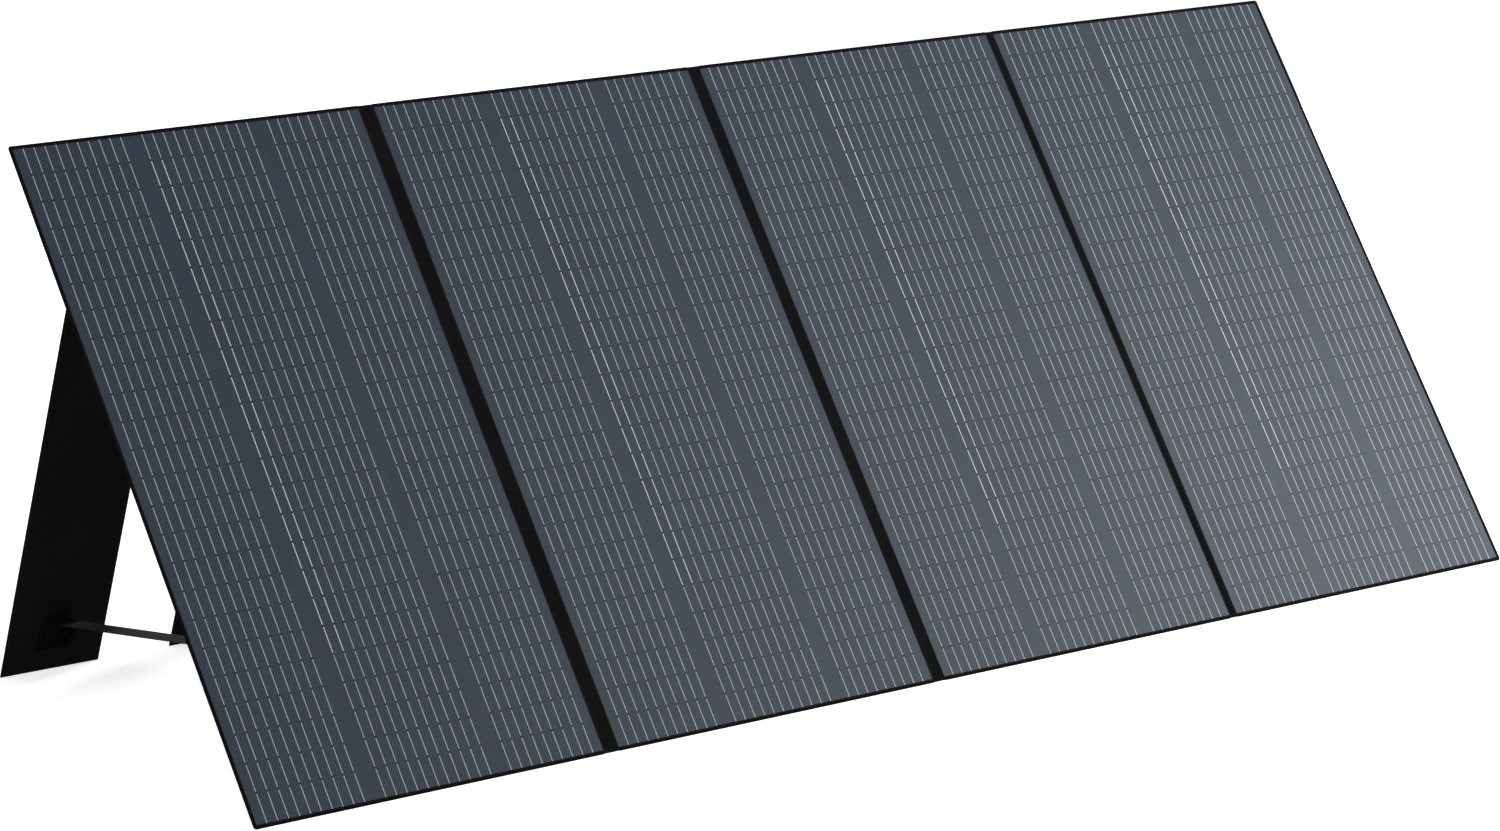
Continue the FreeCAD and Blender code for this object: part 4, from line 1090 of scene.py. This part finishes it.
def make_leg_web(number, place):
    """Hinge cloth: sewn to the panel's back, over the kickstand's head and onto its outer side."""
    hinge_up = (BACK.inverted() @ place.translation).y
    to_back = BACK.inverted() @ place
    thick = 0.8 * MM
    outer = -LEG_THICKNESS - thick / 2

    def on_leg(y, z):
        spot = to_back @ Vector((0, y * MM, z))
        return (spot.y, spot.z)

    path = [(hinge_up + up * MM, lift) for up, lift in (
        (22, thick / 2), (14, thick / 2), (7, thick / 2), (3.2, thick * 0.55), (1.6, thick * 1.2))]
    path += [on_leg(y, z) for y, z in (
        (0.6, -1.3 * MM), (-0.6, -LEG_THICKNESS * 0.72), (-3.0, -LEG_THICKNESS - 0.2 * MM), (-7, outer),
        (-14, outer), (-20, outer))]
    middle = -place.translation.x
    mesh = band(path, LEG_WIDTH - 1.0 * MM, thick, across=20)
    panel, leg = f"panel_{PANEL_OF_LEG[number]}", f"kickstand_{number}"
    piece = add_piece(f"hinge_cloth_{number}", mesh, BACK @ shift(middle, 0, 0), HINGE_CLOTH, None,
                      [f"leg_web_{number}"])
    start = BACK @ Vector((middle, hinge_up + 3 * MM, thick))
    end = place @ Vector((0, -2.5 * MM, -LEG_THICKNESS))
    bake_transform(piece, panel, leg, start=start, end=end)
    sides = [side * (LEG_WIDTH / 2 - 3 * MM) for side in (-1, 1)]
    over_panel, over_leg = thick + 0.02 * MM, -LEG_THICKNESS - thick - 0.02 * MM
    runs = [[(middle + side, hinge_up + up, over_panel) for side in sides] for up in (8 * MM, 18 * MM)]
    add_stitches(f"hinge_stitches_panel_{number}", runs, BACK, panel, BLACK_THREAD)
    runs = [[(side, y, over_leg) for side in sides] for y in (-9 * MM, -17 * MM)]
    add_stitches(f"hinge_stitches_leg_{number}", runs, place, leg, BLACK_THREAD)


def make_strap(number, place, closing):
    """Webbing that limits the kickstand: straight at rest; closed, it is drawn together beside the panel."""
    panel, leg = f"panel_{PANEL_OF_LEG[number]}", f"kickstand_{number}"
    to_back = BACK.inverted() @ place
    hinge = Vector(to_back.translation.yz)
    middle = -place.translation.x
    patch_top = leg_patch_top(number, place)
    lies = STRAP_THICKNESS / 2
    head = Vector((reach(f"strap_anchors_{PANEL_OF_LEG[number]}", UP)[1] - BOTTOM, lies))
    foot = Vector((to_back @ Vector((0, patch_top, lies))).yz)
    under_head = [head - Vector((away, 0.35 * MM)) for away in (26 * MM, 1.5 * MM)]
    under_foot = [Vector((to_back @ Vector((0, patch_top - away, lies - 0.35 * MM))).yz)
                  for away in (1.5 * MM, 26 * MM)]
    path = under_head + [head.lerp(foot, i / 60) for i in range(61)] + under_foot
    mesh = band(path, STRAP_WIDTH, STRAP_THICKNESS, across=12)
    piece = add_piece(f"strap_{number}", mesh, BACK @ shift(middle, 0, 0), STRAP_WEBBING, None,
                      [f"leg_strap_{number}"])
    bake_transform(piece, panel, leg, start=BACK @ Vector((middle, head.x, 0)),
             end=place @ Vector((0, patch_top, 0)))

    # Each cross-section turns by its own share of the kickstand's angle, so that the closed strap lies flat.
    run = foot - head
    from_back = BACK.inverted()
    low, high = hinge.y - lies, lies
    for vertex, share in zip(mesh.vertices, mesh.attributes["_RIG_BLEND"].data):
        spot = (from_back @ vertex.co).yz
        along = min(max((spot - head).dot(run) / run.length_squared, 0.0), 1.0)
        arm = head + run * along - hinge
        beside = low + (high - low) * along
        angle = math.atan2(arm.y, -arm.x) + math.asin(beside / arm.length)
        share.value = min(max(angle / closing, 0.0), 1.0)


def leg_patch_top(number, place):
    to_leg = place.inverted()
    return max((to_leg @ v.co).y for v in frame["nodes"][f"leg_patch_{number}"].data.vertices)


def make_patch(x, y):
    """A sewn patch over a strap's end, which shows as a low step: its mesh and its stitch runs."""
    half_x, half_y = PATCH_WIDTH / 2, PATCH_HEIGHT / 2
    edge, over = (0, 0.25, 0.9, 2.2, 3.4, 5.0), STRAP_WIDTH / 2 + 1.8 * MM
    ridge_end = half_y - 28 * MM
    beside_strap = [side * (over - r * MM) for r in (0, 0.7, 1.6) for side in (-1, 1)]
    xs = grid_lines(half_x, edge, 14 * MM, 7 * MM, beside_strap)
    ys = grid_lines(half_y, edge, 12 * MM, 6 * MM, [ridge_end + r * MM for r in (0, 0.8, 1.8)])

    def high(u, v):
        inside = np.minimum(half_x - np.abs(u), half_y - np.abs(v))
        seam = np.exp(-((inside - 2.6 * MM) / (0.8 * MM)) ** 2)
        body = PATCH_THICKNESS * (0.3 + 0.38 * edge_ease(inside, 1.0 * MM) - 0.08 * seam)
        return body + 0.3 * MM * edge_ease(over - np.abs(u), 1.6 * MM) * edge_ease(v - ridge_end, 1.8 * MM)

    def on_cloth(start, end):
        return [(x + u, y + v, float(high(u, v)))
                for u, v in zip(np.linspace(start[0], end[0], 16), np.linspace(start[1], end[1], 16))]

    def corners(side, bottom, top):
        return [(-side, bottom), (side, bottom), (side, top), (-side, top)]

    mesh = shell(xs, ys, high, flat(0.01 * MM))
    mesh.transform(shift(x, y, 0))
    seam_in = 2.8 * MM
    hem = corners(half_x - seam_in, seam_in - half_y, half_y - seam_in)
    box = corners(STRAP_WIDTH / 2 - 3 * MM, ridge_end + 4 * MM, half_y - 5 * MM)
    runs = [on_cloth(a, b) for ring in (hem, box) for a, b in zip(ring, ring[1:] + ring[:1])]
    return mesh, runs + [on_cloth(box[0], box[2]), on_cloth(box[1], box[3])]


def make_patches(number, place):
    """The sewn patch over the strap's lower end."""
    leg = f"kickstand_{number}"
    mesh, runs = make_patch(0.0, leg_patch_top(number, place) - PATCH_HEIGHT / 2)
    add_piece(f"strap_patch_{number}", mesh, place, PATCH_CLOTH, leg, [f"leg_patch_{number}"],
              angle=50)
    add_stitches(f"patch_stitches_{number}", runs, place, leg, BLACK_THREAD)


def make_anchors(panel, legs):
    """Sewn patches over the straps' upper ends, on a panel's back."""
    middle = reach(f"strap_anchors_{panel}", UP)[1] - BOTTOM - PATCH_HEIGHT / 2
    parts, runs = [], []
    for leg in legs:
        mesh, seams = make_patch(-joints[f"kickstand_{leg}_fold"]["pos_m"][0], middle)
        parts.append((mesh, HERE, 0))
        runs += seams
    add_piece(f"anchor_patches_{panel}", joined(parts), BACK, [PATCH_CLOTH], f"panel_{panel}",
              [f"strap_anchors_{panel}"], angle=50)
    add_stitches(f"anchor_stitches_{panel}", runs, BACK, f"panel_{panel}", BLACK_THREAD)


STRAP_WIDTH, STRAP_THICKNESS = 40 * MM, 1.2 * MM
PATCH_WIDTH, PATCH_HEIGHT, PATCH_THICKNESS = 62 * MM, 47 * MM, 1.0 * MM

for number in LEGS:
    place, closing = leg_frame(number)
    make_sleeve(number, place)
    make_leg_web(number, place)
    make_strap(number, place, closing)
    make_patches(number, place)


make_anchors(1, (1, 2))
make_anchors(4, (3, 4))


# ---------------------------------------------------------------- handles
HANDLE_PITCH, WEB_WIDTH, WEB_THICKNESS = 150 * MM, 25 * MM, 1.6 * MM


def make_grip(number):
    """Moulded grip: a flattened oval bar with rounded ends, and finger ribs across its middle."""
    side = ALONG if number == 1 else -ALONG
    place, size = seat(f"handle_grip_{number}", side, side.cross(OUT))
    ribbed, pitch = 112 * MM, 7 * MM
    half = size.y / 2
    ends = half - size.x / 2
    ys = sorted({*steps_between(-ribbed / 2, ribbed / 2, pitch / 6),
                 *steps_between(-ends, -ribbed / 2, 6 * MM),
                 *steps_between(ribbed / 2, ends, 6 * MM)})
    tips = [ends + size.x / 2 * math.sin(math.radians(a)) for a in (8, 20, 34, 48, 62, 74, 83, 89)]
    ys = [-y for y in reversed(tips)] + ys + tips
    sections = []
    for y in ys:
        past = max(abs(y) - ends, 0) / (size.x / 2)
        narrow = math.sqrt(max(1 - past * past, 0.0003))
        wide, deep = size.x / 2 * narrow, size.z / 2 * min(1, 0.25 + narrow * 1.1)
        groove = 0.0
        if abs(y) < ribbed / 2 - 1e-9:
            groove = 0.55 * MM * max(0.0, math.cos(math.tau * y / pitch)) ** 2
        section = []
        for step in range(28):
            a = math.tau * step / 28
            c, s = math.cos(a), math.sin(a)
            x = math.copysign(abs(c) ** 0.62, c) * wide
            z = math.copysign(abs(s) ** 0.75, s) * deep
            shrink = groove * edge_ease(s + 0.35, 0.5)
            section.append((x * (1 - shrink / wide), y, size.z / 2 + z * (1 - shrink / deep)))
        sections.append(section)
    add_piece(f"grip_{number}", swept(sections), place, GRIP_RUBBER, f"handle_{number}",
              [f"handle_grip_{number}"],
              angle=55)

    # collars where the webbing enters the grip
    collar = pad_of(WEB_WIDTH + 5 * MM, 5 * MM, 1.6 * MM,
                    in_mm([(0.5, -2.1), (0, -1.7), (0, 1.7), (0.5, 2.1)]))
    collars = spread(collar, 2, 1, HANDLE_PITCH, ANY_PITCH, GRIP_RUBBER)
    across = place @ shift(-size.x / 2 - 0.6 * MM, 0, size.z / 2) @ Matrix.Rotation(math.pi / 2, 4, "Z")
    add_piece(f"grip_collars_{number}", collars, across, GRIP_RUBBER, f"handle_{number}",
              angle=50)


def make_handle_webbing(number):
    """Each handle's two webbing loops: sewn tail on the panel, turn at the swing line, leg into the grip."""
    place, lift = handle_frame(number)
    over = lift + 0.35 * MM + WEB_THICKNESS / 2
    lies = WEB_THICKNESS / 2
    bend = [(1.1, 0.04), (0.35, 0.2), (-0.1, 0.5), (0.35, 0.8), (1.1, 0.96)]
    path = [(35.5 * MM, lies), (24 * MM, lies), (12 * MM, lies), (5 * MM, lies)]
    path += [(y * MM, lies + (over - lies) * rise) for y, rise in bend]
    path += [(y * MM, over) for y in (5, 12, 20, 28, 36, 46, 54)]
    across = place @ Matrix.Rotation(-math.pi / 2, 4, "Z")
    panel = f"panel_{number}"
    webbing = band(path, WEB_WIDTH, WEB_THICKNESS, across=8)
    parts, runs = [], []
    for side in (-1, 1):
        parts.append((webbing, shift(side * HANDLE_PITCH / 2, 0, 0), 0))
        runs += box_run(WEB_WIDTH - 6 * MM, 20 * MM, WEB_THICKNESS * 1.02, side * HANDLE_PITCH / 2, 22 * MM,
                        True)
    piece = add_piece(f"handle_webbing_{number}", joined(parts), across, [HANDLE_WEBBING], None,
                      [f"handle_tails_{number}", f"handle_web_{number}"])
    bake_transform(piece, panel, f"handle_{number}", start=place @ Vector((0, 0, lies)),
             end=place @ Vector((0, 0, over)))

    # Each cross-section turns as one: the tail stays, the bend shares the turn, the leg goes with the grip.
    turns = [min(max((height - lies) / (over - lies), 0.0), 1.0) for _, height in path]
    to_panel = place.inverted()
    for vertex, share in zip(piece.data.vertices, piece.data.attributes["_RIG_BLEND"].data):
        spot = (to_panel @ vertex.co).xz
        nearest = min(range(len(path)), key=lambda i: (Vector(path[i]) - spot).length_squared)
        share.value = turns[nearest]
    add_stitches(f"tail_stitches_{number}", runs, across, panel)


for number in (1, 2):
    make_grip(number)
    make_handle_webbing(number)


# ---------------------------------------------------------------- junction box
def turned_part(outline, sides, ripple=None):
    """A closed turned shape: outline of (radius, height), with a ripple of the radius round the axis."""
    turns = [math.tau * step / sides for step in range(sides)]
    levels = []
    for radius, height in outline:
        radii = [radius + (ripple(a, height) if ripple else 0.0) for a in turns]
        levels.append([(r * math.cos(a), r * math.sin(a), height) for r, a in zip(radii, turns)])
    return rings(levels)


def cut_from(mesh, cutter):
    """The mesh with a cutter's shape taken out."""
    objects = [new_object("cut", m) for m in (mesh, cutter)]
    boolean = objects[0].modifiers.new("Cut", "BOOLEAN")
    boolean.operation, boolean.solver, boolean.object = "DIFFERENCE", "EXACT", objects[1]
    result = evaluated(objects[0])
    for obj in objects:
        bpy.data.objects.remove(obj)
    return result


def make_box():
    """Junction box: bonded flange, drafted base, seal and screwed lid."""
    place, size = seat("junction_base")
    lid_place, lid_size = seat("junction_lid")
    flange = 9 * MM
    wide, high = size.x - 2 * flange, lid_size.y + 5 * MM
    middle = lid_place.translation  # the lid sits in the middle of the base
    place = Matrix.Translation(middle - place.to_3x3() @ Vector((0, 0, size.z)) - place.translation) @ place
    plate = in_mm([(0.5, 0), (0, 0.15), (0, 1.3), (0.25, 1.75), (0.8, 2.0), (7.6, 2.0), (9.6, 2.0)])
    walls = in_mm([(-0.6, 1.9), (-0.2, 2.2), (0, 2.7), (0.28, 11.6), (0.7, 12.4), (1.3, 12.6), (1.5, 12.6),
                   (1.5, 12.2), (2.6, 12.2)])
    seal = in_mm([(1.7, 12.0), (1.7, 13.05), (4, 13.05)])
    parts = [(pad_of(size.x, high + 2 * flange, 10.5 * MM, plate), HERE, 0),
             (pad_of(wide, high, 6.5 * MM, walls), HERE, 0), (pad_of(wide, high, 6 * MM, seal), HERE, 1)]
    add_piece("box_base", joined(parts), place, [BOX_PLASTIC, SEAL_RUBBER], "panel_2", ["junction_base"],
              angle=35)

    lid = in_mm([(0.2, 0.05), (0, 0.3), (0, 2.3), (0.25, 2.9), (0.75, 3.4), (1.5, 3.75), (2.6, 3.95),
                 (4.2, 4.0),
                 (12.4, 4.0), (12.9, 3.85), (13.2, 3.5), (13.6, 3.4), (20, 3.4)])
    apart = [2 * (side / 2 - 8 * MM) for side in lid_size.xy]
    seats = shift(0, 0, lid_size.z - 1.8 * MM)  # where the screw heads sit
    well = turned_part(in_mm([(3.35, 0), (3.35, 1.9), (3.9, 2.9)]), 28)
    wells = spread(well, 2, 2, *apart, BOX_PLASTIC)
    wells.transform(seats)
    lid_mesh = cut_from(pad_of(lid_size.x, lid_size.y, 5 * MM, lid), wells)
    add_piece("box_lid", lid_mesh, lid_place, BOX_PLASTIC, "panel_2", ["junction_lid"],
              angle=35)

    head = turned_part(in_mm([(3.0, 0.0), (3.0, 0.35), (2.85, 0.7), (2.4, 1.0), (1.6, 1.2), (0.6, 1.26)]), 20)
    for turn in (25, 115):
        slot = block(3.6 * MM, 0.8 * MM, 1.3 * MM)
        slot.transform(shift(0, 0, 1.2 * MM) @ Matrix.Rotation(math.radians(turn), 4, "Z"))
        head = cut_from(head, slot)
    screws = spread(head, 2, 2, *apart, SCREW_STEEL)
    add_piece("box_screws", screws, lid_place @ seats, SCREW_STEEL, "panel_2", ["lid_screws"],
              angle=30)


def make_glands():
    """Two cable glands under the box: hexagon, ribbed cap nut and a blind seal."""
    nut = 6 * MM

    def hexagon(a, height):
        return nut * (math.cos(math.pi / 6) / math.cos((a + math.pi / 6) % (math.pi / 3) - math.pi / 6) - 1)

    def ribs(a, height):
        return 0.22 * MM * math.cos(18 * a) if -4.4 * MM > height > -11.6 * MM else 0.0

    body = [(5.2, 1.5), (6, 1.0), (6, -2.9), (5.3, -3.5)]
    cap = [(4.6, -3.3), (5.1, -3.6), (5.5, -4.2), (5.55, -5.0), (5.5, -11.2), (5.2, -12.6), (4.6, -13.7),
           (3.9, -14.4), (3.4, -14.6), (3.2, -14.3), (3.1, -13.6), (2.0, -13.6)]
    seal = [(3.1, -13.2), (3.05, -14.0), (2.4, -14.35), (0.9, -14.0), (0.35, -13.8)]
    one = [(outward(turned_part(in_mm(outline)[::-1], sides, ripple)), index)
           for outline, sides, ripple, index in (
               (body, 36, hexagon, 0), (cap, 72, ribs, 0), (seal, 24, None, 1))]
    place, size = seat("cable_glands")
    parts = []
    for side in (-1, 1):
        mouth = shift(side * (size.x / 2 - nut), size.y / 2 - 1.2 * MM, size.z / 2)
        parts += [(mesh, mouth @ Matrix.Rotation(-math.pi / 2, 4, "X"), index) for mesh, index in one]
    add_piece("box_glands", joined(parts), place, [BOX_PLASTIC, SEAL_RUBBER], "panel_2", ["cable_glands"],
              angle=35)


make_box()
make_glands()


# ---------------------------------------------------------------- zip pocket
def creases(x, y):
    """Soft creases of slack cloth, ridges and valleys lying mostly across the pouch."""
    rng = np.random.default_rng(7)
    total = 0 * x
    for _ in range(20):
        at_x, at_y, turn = rng.uniform(-0.12, 0.12), rng.uniform(-0.075, 0.075), rng.uniform(-0.75, 0.75)
        along = (x - at_x) * math.cos(turn) + (y - at_y) * math.sin(turn)
        across = (y - at_y) * math.cos(turn) - (x - at_x) * math.sin(turn)
        wide, long, size = rng.uniform(5, 9.5) * MM, rng.uniform(25, 60) * MM, rng.choice((-0.9, 1.0))
        total = total + size * np.exp(-((across / wide) ** 2) - (along / long) ** 2)
    return total


def make_pouch():
    """Flat, empty pouch: a sewn hem, soft shoulders and slack cloth that the zip holds flat."""
    place, size = seat("pocket_pouch")
    zip_place, zip_size = seat("zip_teeth")
    zip_x = (BACK.inverted() @ zip_place.translation).x - (BACK.inverted() @ place.translation).x
    chain = zip_size.y / 2
    hem, half_x, half_y = 12 * MM, size.x / 2, size.y / 2
    rise = (0, 0.4, 1.2, 9.5, 10.6, 11.6, 12.8, 14.2, 16, 18, 20.5, 23.5)
    xs, ys = (grid_lines(half, rise, half - 27 * MM, 4 * MM) for half in (half_x, half_y))

    def high(x, y):
        inside = np.minimum(half_x - np.abs(x), half_y - np.abs(y))
        rise = round_up(inside - hem, 13 * MM)
        edge = 0.8 * MM * edge_ease(inside + 0.5 * MM, 1.4 * MM)
        by_zip = np.hypot(np.maximum(np.abs(x - zip_x) - 13 * MM, 0),
                          np.maximum(np.abs(y) - chain - 2 * MM, 0))
        slack = edge_ease(by_zip, 26 * MM) * edge_ease(inside - hem, 12 * MM)
        pucker = np.sin((x + y) * math.tau / (11 * MM)) * np.exp(-np.abs(inside - hem - 2 * MM) / (5 * MM))
        soft = 2.1 * MM * creases(x, y) + 0.7 * MM * ripples(x, y, 90, 0.09)
        return edge + (size.z - 0.85 * MM) * rise + slack * soft + 0.22 * MM * pucker * edge_ease(inside, hem)

    mesh = shell(xs, ys, high, flat(0.02 * MM))
    piece = add_piece("pocket_cloth", mesh, place, POUCH_CLOTH, "panel_2", ["pocket_pouch"],
                      angle=50)
    runs = [run for ins in (4.4 * MM, 19 * MM) for run in box_run(size.x - ins, size.y - ins, 0.82 * MM)]
    add_stitches("pocket_stitches", runs, place, "panel_2")


def make_zip():
    """Woven tapes with topstitching and moulded teeth; the slider and pull keep their CAD shape."""
    place, size = seat("zip_tapes")
    tape = (size.x - 1.6 * MM) / 2
    profile = in_mm([(0.25, 0), (0, 0.15), (0, 0.42), (0.3, 0.56), (1.2, 0.6)])
    tapes = [pad_of(tape, size.y, 0.6 * MM, profile, side * (size.x - tape) / 2) for side in (-1, 1)]
    parts = [(mesh, HERE, 0) for mesh in tapes]
    piece = add_piece("zip_cloth", joined(parts), place, [ZIP_TAPE], "panel_2", ["zip_tapes"])
    runs = box_run(2 * (size.x / 2 - 2.4 * MM), 2 * (size.y / 2 - 4 * MM), 0.62 * MM)
    add_stitches("zip_stitches", runs, place, "panel_2")

    place, size = seat("zip_teeth")
    profile = [(0, 0), (0, 0.75), (0.12, 1.15), (0.4, 1.4)]
    outline = ((-2.5, 0.45), (-1.6, 0.6), (-0.2, 0.42), (0.3, 0.62), (0.8, 0.52), (1.0, 0.0), (0.8, -0.52),
               (0.3, -0.62),
               (-0.2, -0.42), (-1.6, -0.6), (-2.5, -0.45))
    levels = [[(x * (1 - i * 0.18) * MM, y * (1 - i * 0.7) * MM, z * MM) for x, y in outline]
              for i, z in profile]
    pitch = 2.8 * MM
    count = int(round((size.y - 1.2 * MM) / pitch))
    teeth = spread(outward(rings(levels)), 1, count, ANY_PITCH, pitch, ZIP_PLASTIC)
    parts = [(teeth, shift(0, -pitch / 4, 0), 0),
             (teeth, shift(0, pitch / 4, 0) @ Matrix.Rotation(math.pi, 4, "Z"), 0)]
    add_piece("zip_chain", joined(parts), place, [ZIP_PLASTIC], "panel_2", ["zip_teeth"],
              angle=30)


make_pouch()
make_zip()


# ---------------------------------------------------------------- hard pieces that keep their CAD shape
def paint(nodes, finish):
    for node in nodes:
        materials = frame["nodes"][node].data.materials
        materials.clear()
        materials.append(finish)


paint([f"cell_array_{k}" for k in PANELS], SILICON)
paint([f"backing_board_{k}" for k in PANELS], BOARD)
paint([f"leg_board_{k}" for k in LEGS], BOARD)
paint(["zip_slider", "zip_pull"], ZIP_METAL)
